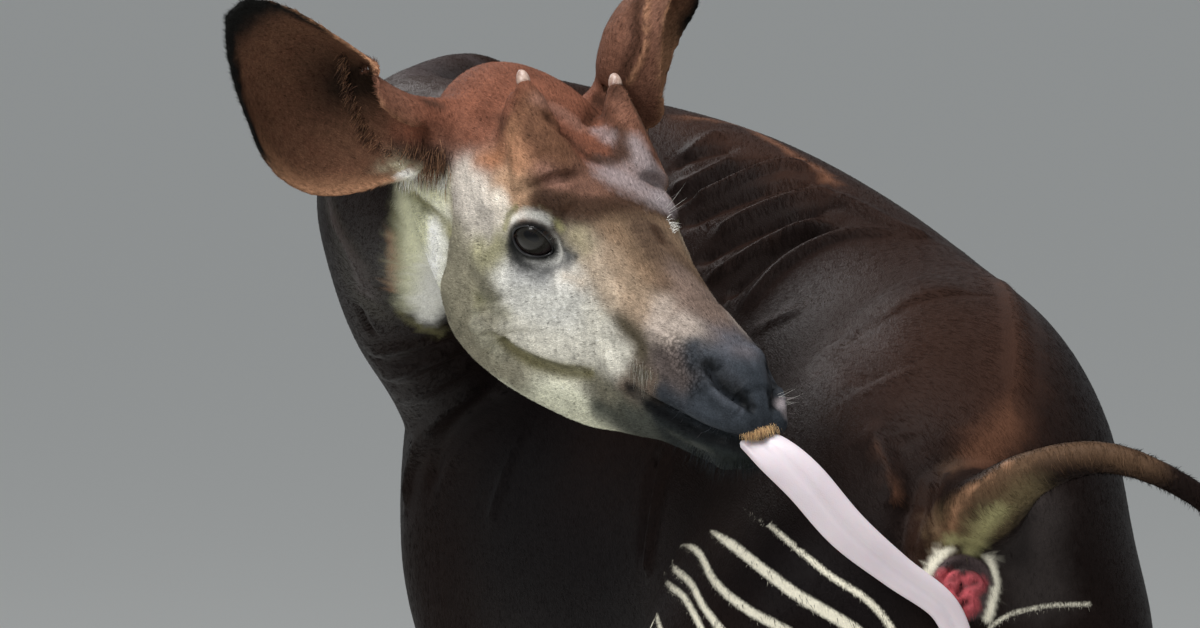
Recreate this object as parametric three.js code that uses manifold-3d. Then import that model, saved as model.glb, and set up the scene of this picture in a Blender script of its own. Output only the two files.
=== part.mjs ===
// A life-size okapi that stands still and turns its head back along its left side to lick its hip.
// Millimetres, +Z up, +X the way the hips point, +Y the animal's left, origin at the middle of its footprint.
import * as THREE from 'three';
import { mergeVertices } from 'three/addons/utils/BufferGeometryUtils.js';
import Module from 'manifold-3d';

const wasm = await Module();
wasm.setup();

// Gap that two touching pieces keep
const GAP = 0.3;
const deg = THREE.MathUtils.degToRad;
const point = (x, y, z) => new THREE.Vector3(x, y, z);

// Trunk: s is the distance from the back of the buttocks along the spine.
// Columns: s, heading of the spine in degrees, lean of the cross-section to the right in degrees
const SPINE_START = point(-820, 0, 0);
const SPINE = [
  [0, 4, 17],
  [350, 4, 17],
  [480, 9, 13],
  [600, 17, 8],
  [750, 27, 4],
  [900, 33, 1],
  [1100, 37, 0],
  [1450, 38, 0],
];
const LEAN_PIVOT_HEIGHT = 1150;
// Columns: s, top, bottom, half width, squareness, narrowing towards the top
const TRUNK = [
  [0, 1160, 1090, 26, 2.0, 0.0],
  [22, 1212, 1015, 84, 2.0, 0.0],
  [65, 1275, 960, 136, 2.1, -0.04],
  [130, 1332, 925, 170, 2.2, -0.06],
  [200, 1372, 902, 190, 2.2, -0.12],
  [290, 1402, 888, 203, 2.2, -0.2],
  [380, 1416, 884, 204, 2.15, -0.26],
  [480, 1428, 888, 204, 2.1, -0.28],
  [560, 1446, 882, 208, 2.1, -0.28],
  [700, 1487, 862, 220, 2.1, -0.3],
  [850, 1530, 842, 228, 2.1, -0.34],
  [1000, 1556, 832, 218, 2.1, -0.38],
  [1100, 1562, 834, 204, 2.1, -0.38],
  [1190, 1546, 848, 186, 2.1, -0.36],
  [1265, 1482, 875, 156, 2.1, -0.3],
  [1320, 1385, 915, 120, 2.0, -0.2],
  [1358, 1275, 965, 80, 2.0, -0.1],
  [1380, 1190, 1025, 40, 2.0, 0.0],
];
const TRUNK_SIDES = 30;
const TRUNK_STEP = 62;

// Legs. Columns: height, s, distance from the spine, half size along the body, half size across
const HIND_LEG = [
  [1230, 238, 92, 104, 48],
  [1160, 228, 118, 176, 88],
  [1060, 222, 124, 208, 112],
  [960, 228, 130, 184, 104],
  [880, 214, 136, 142, 84],
  [800, 176, 141, 99, 64],
  [740, 145, 143, 73, 49],
  [680, 112, 143, 57, 40],
  [630, 84, 142, 48, 34],
  [600, 66, 141, 50, 33],
  [570, 56, 140, 48, 35],
  [530, 58, 140, 41, 32],
  [490, 64, 140, 33, 28],
  [420, 70, 140, 28, 24],
  [330, 75, 140, 26, 24],
  [250, 79, 140, 27, 26],
  [205, 82, 140, 32, 30],
  [175, 85, 140, 35, 33],
  [140, 96, 140, 31, 30],
  [105, 109, 140, 29, 31],
  [66, 122, 140, 34, 35],
];
const FORE_LEG = [
  [1390, 1030, 84, 55, 34],
  [1320, 1050, 114, 100, 56],
  [1230, 1080, 136, 132, 66],
  [1130, 1100, 150, 144, 73],
  [1030, 1105, 155, 136, 72],
  [940, 1094, 152, 110, 64],
  [870, 1080, 149, 88, 55],
  [800, 1078, 147, 67, 47],
  [740, 1082, 144, 56, 42],
  [650, 1089, 142, 48, 37],
  [570, 1094, 140, 43, 34],
  [520, 1098, 140, 44, 38],
  [488, 1101, 140, 47, 41],
  [455, 1100, 140, 43, 38],
  [410, 1095, 140, 33, 31],
  [330, 1092, 140, 28, 26],
  [250, 1092, 140, 27, 26],
  [205, 1094, 140, 33, 31],
  [175, 1097, 140, 36, 34],
  [140, 1108, 140, 31, 31],
  [105, 1121, 140, 29, 31],
  [66, 1134, 140, 34, 35],
];
const LEG_SIDES = 14;
const LEG_STEP = 64;
const FORE_LEG_HEADING_AT = 1090;
// The hips lean to the right over the hind feet, which stand this far to the left
const HIP_LEAN_FROM = 900;
const HIP_LEAN_TO = 600;
const HIND_FEET_LEFT = 30;
// Places of the cuts between the pieces: along the spine and up the legs
const TRUNK_CUTS = [470, 900];
const LEG_TOP_CUT = 800;
const HOCK_CUT = 560;
const KNEE_CUT = 488;
const FETLOCK_CUT = 190;
const REAR_MIDDLE = point(-700, 0, 0);
const FRONT_MIDDLE = point(150, 300, 0);
const TRUNK_MIDDLE_HEIGHT = 1180;
const WIDE_CUT = 900;
const LEG_CUT = 700;
const NECK_CUT = 400;
const CORONET = 66;

// Hoof: each foot has two. Columns: height, back of the heel, front of the toe, width
const HOOF = [
  [CORONET - GAP, -33, 33, 33],
  [45, -36, 45, 36],
  [18, -38, 60, 39],
  [0, -35, 66, 38],
];
const HOOF_CLEFT = 5;
const HOOF_SIDES = 14;

// Neck. Columns: running number, x, y, z, reach up, reach down, half width, narrowing towards the top
const NECK = [
  [0, 120, 275, 1300, 150, 220, 110, -0.5],
  [1, 158, 370, 1338, 245, 222, 132, -0.42],
  [2, 112, 444, 1388, 222, 192, 120, -0.22],
  [3, 8, 484, 1425, 186, 182, 110, -0.12],
  [4, -105, 500, 1456, 144, 142, 105, -0.1],
  [5, -215, 506, 1482, 112, 118, 98, -0.1],
  [6, -325, 492, 1500, 96, 106, 88, -0.08],
  [7, -428, 455, 1508, 88, 100, 78, -0.05],
  [8, -500, 415, 1500, 70, 85, 60, 0.0],
];
const NECK_SIDES = 26;
const NECK_RINGS = 19;
const NECK_CUT_AT = 4.6;

// Head: its own frame has the origin midway between the eyes, +X to the nose, +Y its left, +Z its crown
const HEAD_AT = point(-633, 318, 1450);
const HEAD_YAW = deg(-144.4);
const HEAD_PITCH = deg(14.7);
const HEAD_ROLL = deg(-2.6);
// Columns: x, top, widest level, bottom, half width, squareness
const HEAD = [
  [-238, 62, 5, -62, 50, 2.0],
  [-222, 84, 5, -82, 63, 2.0],
  [-195, 97, 5, -103, 72, 2.1],
  [-160, 101, 2, -120, 77, 2.2],
  [-120, 96, -2, -134, 81, 2.2],
  [-80, 86, -5, -146, 83, 2.2],
  [-40, 71, -3, -152, 83, 2.25],
  [0, 56, 0, -153, 79, 2.3],
  [35, 42, -8, -152, 70, 2.3],
  [75, 26, -20, -149, 59, 2.2],
  [115, 11, -32, -145, 51, 2.2],
  [155, -3, -45, -140, 46, 2.2],
  [195, -16, -56, -135, 43, 2.2],
  [228, -30, -66, -132, 43, 2.2],
  [252, -45, -76, -128, 40, 2.2],
  [270, -60, -84, -118, 33, 2.1],
  [281, -76, -90, -106, 21, 2.0],
  [285, -86, -91, -97, 8, 2.0],
];
const HEAD_SIDES = 24;
const HEAD_STEP = 20;
const EYE_RADIUS = 22;
const EYE_AT = point(-11, 60, -1);
const LID_THICKNESS = 3;
const EYE_FACING = point(0.6, 0.79, 0.06);
const EYE_OPENING_LENGTH = 40;
const EYE_OPENING_HEIGHT = 29;
const EYE_SLANT = 0.2;
const MOUTH_HALF_HEIGHT = 2.2;
// Line between the lips on one side, from the front of the mouth back to its corner. Columns: number, x, y, z
const MOUTH = [
  [0, 284, 0, -100],
  [1, 276, 22, -99],
  [2, 250, 40, -99],
  [3, 215, 45, -101],
  [4, 185, 46, -103],
  [5, 158, 48, -101],
];
// Radius of the lips at the same places
const LIPS = [7, 7, 6, 5, 3.5, 1.6];

// Horns: skin-covered cones that lean back, with a bare tip. Columns: length along the horn, radius
const HORN_FOOT = point(-42, 47, 58);
const HORN_TIP = point(-94, 53, 130);
const HORN = [
  [-18, 34],
  [0, 32],
  [22, 25],
  [46, 17],
  [68, 11.5],
];
const HORN_BARE = [
  [68 + GAP, 11],
  [78, 9.5],
  [85, 6.5],
  [88, 2.5],
];
const HORN_SIDES = 12;

// Ear: a cupped shell along a bent path. Columns: share of the length, half chord, depth of the cup,
// and how far the section wraps round on the side of the crown and on the side of the lobe, in degrees
const EAR = [
  [0.0, 24, 24, 160, 156],
  [0.1, 27, 27, 158, 150],
  [0.2, 34, 36, 152, 122],
  [0.32, 53, 50, 138, 100],
  [0.45, 70, 58, 116, 90],
  [0.58, 76, 58, 100, 85],
  [0.72, 73, 49, 90, 82],
  [0.84, 61, 34, 82, 78],
  [0.93, 42, 19, 76, 72],
  [1.0, 15, 6, 70, 66],
];
const EAR_THICKNESS = 5;
const EAR_ARC_POINTS = 12;
const EAR_ROOT = [
  [-24, 20],
  [0, 25],
  [24, 26],
];
// Middle line of each ear and the way its cup opens, in the head's frame. Columns: share, x, y, z
const EARS = {
  right: {
    side: -1,
    opens: point(0.94, -0.1, -0.1),
    path: [
      [0, -168, -64, 38],
      [0.22, -180, -117, 35],
      [0.47, -194, -176, 51],
      [0.72, -206, -231, 87],
      [1, -214, -284, 141],
    ],
  },
  left: {
    side: 1,
    opens: point(0.75, 0.6, 0.1),
    path: [
      [0, -160, 60, 46],
      [0.25, -130, 100, 98],
      [0.5, -112, 122, 151],
      [0.75, -108, 136, 206],
      [1, -112, 144, 261],
    ],
  },
};

// Tongue, in the head's frame. Columns: number, x, y, z, half width, half thickness, normal x, y, z
const TONGUE = [
  [0, 200, -3, -104, 13, 4.5, 0, 0, 1],
  [1, 240, -4, -100, 18, 5.5, 0.1, -0.05, 1],
  [2, 270, -2, -99, 20, 6, 0.3, -0.2, 0.93],
  [3, 296, 7, -106, 20.5, 6.3, 0.55, -0.4, 0.73],
  [4, 322, 26, -123, 20, 6, 0.72, -0.54, 0.44],
  [5, 354, 58, -152, 19.5, 5.5, 0.78, -0.58, 0.22],
  [6, 385, 97, -184, 19, 5.2, 0.78, -0.59, 0.18],
  [7, 413, 134, -213, 18, 5, 0.78, -0.59, 0.18],
  [8, 431, 158, -238, 15, 4.5, 0.8, -0.58, 0.15],
  [9, 441, 172, -257, 9, 3.5, 0.8, -0.58, 0.15],
  [10, 445, 178, -266, 3, 1.6, 0.8, -0.58, 0.15],
];
const TONGUE_SIDES = 12;
const TONGUE_RINGS = 18;

// Tail, raised and carried to the right. Columns: number, x, y, z, half width, half thickness
const TAIL = [
  [0, -690, -16, 1226, 44, 38],
  [1, -762, -18, 1214, 48, 40],
  [2, -808, -32, 1224, 38, 31],
  [3, -840, -64, 1250, 25, 20],
  [4, -864, -112, 1272, 16, 14],
  [5, -878, -168, 1258, 13, 12],
  [6, -886, -220, 1222, 12, 11],
  [7, -888, -244, 1170, 12, 11],
];
const TAIL_SIDES = 12;
const TAIL_RINGS = 18;
const TUFT_LENGTH = 210;
const TUFT_LOCKS = 13;

// Smooth value of every column of a table at a place on its first column.
function tableAt(rows, place) {
  const last = rows.length - 1;
  let i = 0;
  while (i < last - 1 && place > rows[i + 1][0]) i += 1;
  const span = rows[i + 1][0] - rows[i][0];
  const t = Math.min(Math.max((place - rows[i][0]) / span, 0), 1);
  const slope = (row, column) => {
    const before = rows[Math.max(row - 1, 0)];
    const after = rows[Math.min(row + 1, last)];
    return ((after[column] - before[column]) / (after[0] - before[0])) * span;
  };
  return rows[i].map((start, column) => {
    const end = rows[i + 1][column];
    const bend = slope(i, column) * (t ** 3 - 2 * t ** 2 + t) + slope(i + 1, column) * (t ** 3 - t ** 2);
    return start * (2 * t ** 3 - 3 * t ** 2 + 1) + end * (3 * t ** 2 - 2 * t ** 3) + bend;
  });
}

// Evenly spread places from the first row of a table to its last.
function places(rows, count) {
  const first = rows[0][0];
  const span = rows[rows.length - 1][0] - first;
  return Array.from({ length: count }, (_, i) => first + (span * i) / (count - 1));
}

// Closed mesh from its corners and triangles, turned so that its faces point outwards.
function closedMesh(corners, triangles) {
  let volume = 0;
  for (let i = 0; i < triangles.length; i += 3) {
    const [a, b, c] = [corners[triangles[i]], corners[triangles[i + 1]], corners[triangles[i + 2]]];
    volume += a.dot(b.clone().cross(c));
  }
  const order = volume > 0 ? triangles : triangles.slice().reverse();
  const geometry = new THREE.BufferGeometry();
  geometry.setAttribute('position', new THREE.Float32BufferAttribute(corners.flatMap((p) => p.toArray()), 3));
  geometry.setIndex(order);
  return geometry;
}

// Closed body through a row of rings of equally many points, its ends closed by fans.
function skinRings(rings) {
  const sides = rings[0].length;
  const corners = rings.flat();
  const triangles = [];
  for (let r = 0; r < rings.length - 1; r += 1) {
    for (let i = 0; i < sides; i += 1) {
      const a = r * sides + i;
      const b = r * sides + ((i + 1) % sides);
      triangles.push(a, b, b + sides, a, b + sides, a + sides);
    }
  }
  const closeEnd = (ring, start, flip) => {
    const middle = ring.reduce((sum, p) => sum.add(p), point(0, 0, 0)).divideScalar(sides);
    corners.push(middle);
    for (let i = 0; i < sides; i += 1) {
      const pair = [start + i, start + ((i + 1) % sides)];
      triangles.push(corners.length - 1, pair[flip ? 1 : 0], pair[flip ? 0 : 1]);
    }
  };
  closeEnd(rings[0], 0, true);
  closeEnd(rings[rings.length - 1], (rings.length - 1) * sides, false);
  return closedMesh(corners, triangles);
}

// One ring of a body: a rounded section with its own reach up, down and sideways.
function sectionRing(centre, side, up, { half, rise, drop, square = 2, narrow = 0 }, sides) {
  const power = 2 / square;
  return Array.from({ length: sides }, (_, i) => {
    const angle = (2 * Math.PI * i) / sides;
    const c = Math.cos(angle);
    const s = Math.sin(angle);
    const height = Math.sign(c) * Math.abs(c) ** power * (c > 0 ? rise : drop);
    const width = Math.sign(s) * Math.abs(s) ** power * half * (1 + narrow * c);
    return centre.clone().addScaledVector(up, height).addScaledVector(side, width);
  });
}

// Body along a curved path given by a table whose columns 1 to 3 are x, y, z.
function pathLoft(rows, count, sides, shapeOf, normalOf = () => point(0, 0, 1)) {
  const at = (place) => point(...tableAt(rows, place).slice(1, 4));
  const step = 0.01;
  const rings = places(rows, count).map((place) => {
    const row = tableAt(rows, place);
    const along = at(place + step).sub(at(place - step)).normalize();
    const side = normalOf(row).cross(along).normalize();
    const up = along.clone().cross(side);
    return sectionRing(at(place), side, up, shapeOf(row), sides);
  });
  return skinRings(rings);
}

// Body of round sections along a straight axis, from rows of distance and radius.
function turnedLoft(foot, axis, rows, sides) {
  const along = axis.clone().normalize();
  const helper = Math.abs(along.z) < 0.9 ? point(0, 0, 1) : point(1, 0, 0);
  const side = helper.cross(along).normalize();
  const up = along.clone().cross(side);
  const ring = ([distance, radius]) => {
    const centre = foot.clone().addScaledVector(along, distance);
    return sectionRing(centre, side, up, { half: radius, rise: radius, drop: radius }, sides);
  };
  return skinRings(rows.map(ring));
}

// Solid of a closed geometry.
function solidOf(geometry) {
  const bare = geometry.clone();
  bare.deleteAttribute('normal');
  bare.deleteAttribute('uv');
  const merged = mergeVertices(bare, 1e-3);
  const mesh = new wasm.Mesh({
    numProp: 3,
    vertProperties: new Float32Array(merged.attributes.position.array),
    triVerts: new Uint32Array(merged.index.array),
  });
  return new wasm.Manifold(mesh);
}

// The same geometry with every corner moved outwards, to cut a neighbour with a gap left between them.
function swell(geometry, by) {
  const bare = geometry.clone();
  bare.deleteAttribute('normal');
  bare.deleteAttribute('uv');
  const merged = mergeVertices(bare, 1e-3);
  merged.computeVertexNormals();
  const { position, normal } = merged.attributes;
  for (let i = 0; i < position.count; i += 1) {
    position.setX(i, position.getX(i) + normal.getX(i) * by);
    position.setY(i, position.getY(i) + normal.getY(i) * by);
    position.setZ(i, position.getZ(i) + normal.getZ(i) * by);
  }
  return merged;
}

const socketFor = (geometry) => solidOf(swell(geometry, GAP * 1.4));
const joined = (solids) => solids.reduce((sum, solid) => sum.add(solid));
const without = (solid, cutters) => cutters.reduce((rest, cutter) => rest.subtract(cutter), solid);
const largest = (solid) => solid.decompose().sort((a, b) => b.volume() - a.volume())[0];

// Geometry of a solid, with flat facets.
function geometryOf(solid) {
  const { numProp, numVert, vertProperties, triVerts } = solid.getMesh();
  const positions = new Float32Array(numVert * 3);
  for (let i = 0; i < numVert; i += 1) {
    positions.set(vertProperties.subarray(i * numProp, i * numProp + 3), i * 3);
  }
  const indexed = new THREE.BufferGeometry();
  indexed.setAttribute('position', new THREE.BufferAttribute(positions, 3));
  indexed.setIndex(new THREE.BufferAttribute(new Uint32Array(triVerts), 1));
  const flat = indexed.toNonIndexed();
  flat.computeVertexNormals();
  return flat;
}

// Thin box that parts a body across a direction.
function parting(centre, direction, width) {
  const box = new THREE.BoxGeometry(width, width, GAP);
  const turn = new THREE.Quaternion().setFromUnitVectors(point(0, 0, 1), direction.clone().normalize());
  box.applyQuaternion(turn).translate(centre.x, centre.y, centre.z);
  return solidOf(box);
}

const finishes = {
  coat: new THREE.MeshStandardMaterial({ color: 0x2b1a14, roughness: 0.55, metalness: 0 }),
  legs: new THREE.MeshStandardMaterial({ color: 0xd8cfc0, roughness: 0.7, metalness: 0 }),
  face: new THREE.MeshStandardMaterial({ color: 0xb9ada0, roughness: 0.7, metalness: 0 }),
  ear: new THREE.MeshStandardMaterial({ color: 0x6b4231, roughness: 0.75, metalness: 0 }),
  horn: new THREE.MeshStandardMaterial({ color: 0xe6d8cf, roughness: 0.4, metalness: 0 }),
  hoof: new THREE.MeshStandardMaterial({ color: 0x2a2522, roughness: 0.45, metalness: 0 }),
  eye: new THREE.MeshStandardMaterial({ color: 0x0c0b0c, roughness: 0.08, metalness: 0 }),
  tongue: new THREE.MeshStandardMaterial({ color: 0xcfc0c8, roughness: 0.35, metalness: 0 }),
  hair: new THREE.MeshStandardMaterial({ color: 0x1a1412, roughness: 0.8, metalness: 0 }),
};

const okapi = new THREE.Group();

function addPart(name, solid, finish, parent = okapi) {
  const mesh = new THREE.Mesh(geometryOf(largest(solid)), finishes[finish]);
  mesh.name = name;
  parent.add(mesh);
}

// Place, heading and lean of the spine at a distance from the buttocks.
function spineAt(s) {
  const step = 10;
  const place = SPINE_START.clone();
  for (let done = 0; done < s; done += step) {
    const length = Math.min(step, s - done);
    const heading = deg(tableAt(SPINE, done + length / 2)[1]);
    place.x += Math.cos(heading) * length;
    place.y += Math.sin(heading) * length;
  }
  const [, heading, lean] = tableAt(SPINE, s);
  return { place, heading: deg(heading), lean: deg(lean) };
}

function trunkBody() {
  const first = TRUNK[0][0];
  const last = TRUNK[TRUNK.length - 1][0];
  const stops = new Set(TRUNK.filter(([s]) => s < 100 || s > 1200).map(([s]) => s));
  for (let s = first + 100; s < last - 120; s += TRUNK_STEP) stops.add(s);
  const rings = [...stops].sort((a, b) => a - b).map((s) => {
    const [, top, bottom, half, square, narrow] = tableAt(TRUNK, s);
    const { place, heading, lean } = spineAt(s);
    const along = point(Math.cos(heading), Math.sin(heading), 0);
    const side = point(-Math.sin(heading), Math.cos(heading), 0).applyAxisAngle(along, lean);
    const up = along.clone().cross(side);
    const middle = (top + bottom) / 2;
    const centre = place.clone().setZ(LEAN_PIVOT_HEIGHT).addScaledVector(up, middle - LEAN_PIVOT_HEIGHT);
    const reach = (top - bottom) / 2;
    return sectionRing(centre, side, up, { half, rise: reach, drop: reach, square, narrow }, TRUNK_SIDES);
  });
  return skinRings(rings);
}

// How far the leaning hips carry a hind leg sideways and upwards at a height.
function hipShift(height, out, lean) {
  const swayAbove = -(height - LEAN_PIVOT_HEIGHT) * Math.sin(lean);
  const swayFrom = (LEAN_PIVOT_HEIGHT - HIP_LEAN_FROM) * Math.sin(lean);
  const share = Math.min(Math.max((height - HIP_LEAN_TO) / (HIP_LEAN_FROM - HIP_LEAN_TO), 0), 1);
  const eased = share * share * (3 - 2 * share);
  const sway = height > HIP_LEAN_FROM ? swayAbove : HIND_FEET_LEFT + (swayFrom - HIND_FEET_LEFT) * eased;
  return [sway, out * Math.sin(lean) * eased];
}

// One leg from the hip or shoulder down to the coronet. Side is 1 on the animal's left and -1 on its right.
function legBody({ rows, side, rootAt, leans }) {
  const { place: root, heading, lean: spineLean } = spineAt(rootAt);
  const lean = leans ? spineLean : 0;
  const along = point(Math.cos(heading), Math.sin(heading), 0);
  const left = point(-Math.sin(heading), Math.cos(heading), 0);
  const rising = rows.slice().reverse();
  const top = rising[rising.length - 1][0];
  const heights = rising.map(([height]) => height).filter((height) => height < 640);
  for (let height = 660; height < top; height += LEG_STEP) heights.push(height);
  heights.push(top);
  const rings = heights.map((height) => {
    const [, s, out, halfAlong, halfAcross] = tableAt(rising, height);
    const [sway, lift] = lean ? hipShift(height, side * out, lean) : [0, 0];
    const centre = root.clone().addScaledVector(along, s - rootAt).addScaledVector(left, side * out + sway);
    centre.setZ(height + lift);
    return sectionRing(centre, left, along, { half: halfAcross, rise: halfAlong, drop: halfAlong }, LEG_SIDES);
  });
  return skinRings(rings);
}

// One of the two hooves of a foot.
function hoofBody({ rows, side, rootAt, leans }, claw) {
  const { place: root, heading } = spineAt(rootAt);
  const along = point(Math.cos(heading), Math.sin(heading), 0);
  const left = point(-Math.sin(heading), Math.cos(heading), 0);
  const foot = rows[rows.length - 1];
  const rings = HOOF.map(([height, heel, toe, width]) => {
    const middle = (heel + toe) / 2;
    const out = side * foot[2] + (leans ? HIND_FEET_LEFT : 0) + claw * (HOOF_CLEFT + width) * 0.5;
    const centre = root.clone().addScaledVector(left, out).setZ(height);
    centre.addScaledVector(along, foot[1] - rootAt + middle);
    const reach = (toe - heel) / 2;
    const shape = { half: width / 2, rise: reach, drop: reach, square: 2.3, narrow: -0.22 };
    return sectionRing(centre, left, along, shape, HOOF_SIDES);
  });
  return skinRings(rings);
}

const LEGS = [
  { name: 'hind_left', rows: HIND_LEG, side: 1, rootAt: 200, joint: HOCK_CUT, leans: true },
  { name: 'hind_right', rows: HIND_LEG, side: -1, rootAt: 200, joint: HOCK_CUT, leans: true },
  { name: 'fore_left', rows: FORE_LEG, side: 1, rootAt: FORE_LEG_HEADING_AT, joint: KNEE_CUT, leans: false },
  { name: 'fore_right', rows: FORE_LEG, side: -1, rootAt: FORE_LEG_HEADING_AT, joint: KNEE_CUT, leans: false },
];

// Head frame as a matrix
const headPlace = new THREE.Group();
headPlace.position.copy(HEAD_AT);
headPlace.rotation.set(HEAD_ROLL, HEAD_PITCH, HEAD_YAW, 'ZYX');
headPlace.updateMatrix();
okapi.add(headPlace);

function headBody() {
  const first = HEAD[0][0];
  const last = HEAD[HEAD.length - 1][0];
  const stops = new Set(HEAD.filter(([x]) => x < -190 || x > 240).map(([x]) => x));
  for (let x = first + 55; x < last - 50; x += HEAD_STEP) stops.add(x);
  const rings = [...stops].sort((a, b) => a - b).map((x) => {
    const [, top, level, bottom, half, square] = tableAt(HEAD, x);
    const shape = { half, rise: top - level, drop: level - bottom, square, narrow: 0 };
    return sectionRing(point(x, 0, level), point(0, 1, 0), point(0, 0, 1), shape, HEAD_SIDES);
  });
  return skinRings(rings);
}

const headShape = headBody();

// Mouth line of one side as a thin swept cutter, and the lips as soft rims above and below it.
const mirrored = (rows, side) => rows.map(([n, x, y, z]) => [n, x, y * side, z]);

function mouthCut(side) {
  const shapeOf = () => ({ half: 5, rise: MOUTH_HALF_HEIGHT, drop: MOUTH_HALF_HEIGHT });
  return solidOf(pathLoft(mirrored(MOUTH, side), 12, 8, shapeOf));
}

function lipRim(side, lift) {
  const rows = mirrored(MOUTH, side).map(([n, x, y, z]) => [n, x * 0.985, y * 0.9, z + lift, LIPS[n]]);
  const shapeOf = ([, , , , radius]) => ({ half: radius, rise: radius, drop: radius });
  return solidOf(pathLoft(rows, 10, 8, shapeOf));
}

// Nostril: a slanting comma cut into the side of the muzzle.
function nostrilCut(side) {
  const rows = [
    [0, 238, side * 47, -42],
    [1, 246, side * 40, -52],
    [2, 258, side * 37, -62],
    [3, 270, side * 31, -70],
  ];
  const shapeOf = ([n]) => {
    const width = [2, 5, 7, 4][Math.round(n)];
    return { half: 12, rise: width, drop: width };
  };
  return solidOf(pathLoft(rows, 7, 8, shapeOf));
}

const eyePlace = (side) => point(EYE_AT.x, EYE_AT.y * side, EYE_AT.z);

function eyeBall(side, radius) {
  const { x, y, z } = eyePlace(side);
  return new THREE.SphereGeometry(radius, 16, 10).translate(x, y, z);
}

// Opening between the lids: an almond run outwards from the middle of the eye.
function lidOpening(side) {
  const length = EYE_OPENING_LENGTH / 2;
  const height = EYE_OPENING_HEIGHT;
  const almond = new THREE.Shape();
  almond.moveTo(-length, 0);
  almond.quadraticCurveTo(0, height, length, 0);
  almond.quadraticCurveTo(0, -height, -length, 0);
  const opening = new THREE.ExtrudeGeometry(almond, { depth: 40, bevelEnabled: false, curveSegments: 6 });
  const out = EYE_FACING.clone();
  out.y *= side;
  out.normalize();
  const forward = point(1, 0, -EYE_SLANT);
  forward.addScaledVector(out, -forward.dot(out)).normalize();
  const frame = new THREE.Matrix4().makeBasis(forward, out.clone().cross(forward), out);
  return solidOf(opening.applyMatrix4(frame.setPosition(eyePlace(side))));
}

function hornBody(side, rows) {
  const foot = point(HORN_FOOT.x, HORN_FOOT.y * side, HORN_FOOT.z);
  const tip = point(HORN_TIP.x, HORN_TIP.y * side, HORN_TIP.z);
  return turnedLoft(foot, tip.sub(foot), rows, HORN_SIDES);
}

// Ear shell: crescent sections from the root to the tip.
function earShell({ side, opens, path }) {
  const at = (share) => point(...tableAt(path, share).slice(1, 4));
  const arcs = EAR.map(([share, chord, depth, wrapCrown, wrapLobe]) => {
    const axis = at(Math.min(share + 0.02, 1)).sub(at(share - 0.02)).normalize();
    const front = opens.clone().addScaledVector(axis, -opens.dot(axis)).normalize();
    const crown = front.clone().cross(axis).multiplyScalar(side);
    const arc = (inset) => Array.from({ length: EAR_ARC_POINTS }, (_, i) => {
      const t = -1 + (2 * i) / (EAR_ARC_POINTS - 1);
      const angle = deg(t > 0 ? wrapCrown : wrapLobe) * t;
      const edge = 0.35 + 0.65 * Math.cos((Math.PI / 2) * t);
      const width = (chord - inset * edge) * Math.sin(angle);
      const height = -(depth - inset * edge) * Math.cos(angle);
      return at(share).addScaledVector(crown, width).addScaledVector(front, height);
    });
    const thickness = Math.min(EAR_THICKNESS, depth * 0.5);
    return [arc(0), arc(thickness)];
  });
  const corners = arcs.flat(2);
  const m = EAR_ARC_POINTS;
  const index = (ring, inner, i) => ring * 2 * m + (inner ? m : 0) + i;
  const triangles = [];
  const quad = (a, b, c, d) => triangles.push(a, b, c, a, c, d);
  for (let r = 0; r < arcs.length - 1; r += 1) {
    for (let i = 0; i < m - 1; i += 1) {
      quad(index(r, 0, i), index(r, 0, i + 1), index(r + 1, 0, i + 1), index(r + 1, 0, i));
      quad(index(r, 1, i + 1), index(r, 1, i), index(r + 1, 1, i), index(r + 1, 1, i + 1));
    }
    quad(index(r, 1, 0), index(r, 0, 0), index(r + 1, 0, 0), index(r + 1, 1, 0));
    quad(index(r, 0, m - 1), index(r, 1, m - 1), index(r + 1, 1, m - 1), index(r + 1, 0, m - 1));
  }
  const top = arcs.length - 1;
  for (let i = 0; i < m - 1; i += 1) {
    quad(index(0, 0, i + 1), index(0, 0, i), index(0, 1, i), index(0, 1, i + 1));
    quad(index(top, 0, i), index(top, 0, i + 1), index(top, 1, i + 1), index(top, 1, i));
  }
  return closedMesh(corners, triangles);
}

// Round root that closes the foot of the ear and sinks into the head.
function earRoot({ path }) {
  const foot = point(...path[0].slice(1));
  const along = point(...path[1].slice(1)).sub(foot);
  return turnedLoft(foot, along, EAR_ROOT, 12);
}

function tongueBody() {
  const shapeOf = ([, , , , half, thick]) => ({ half, rise: thick, drop: thick, square: 2.4 });
  const normalOf = ([, , , , , , x, y, z]) => point(x, y, z);
  return pathLoft(TONGUE, TONGUE_RINGS, TONGUE_SIDES, shapeOf, normalOf);
}

function tailBody() {
  const shapeOf = ([, , , , half, thick]) => ({ half, rise: thick, drop: thick });
  return pathLoft(TAIL, TAIL_RINGS, TAIL_SIDES, shapeOf);
}

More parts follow.
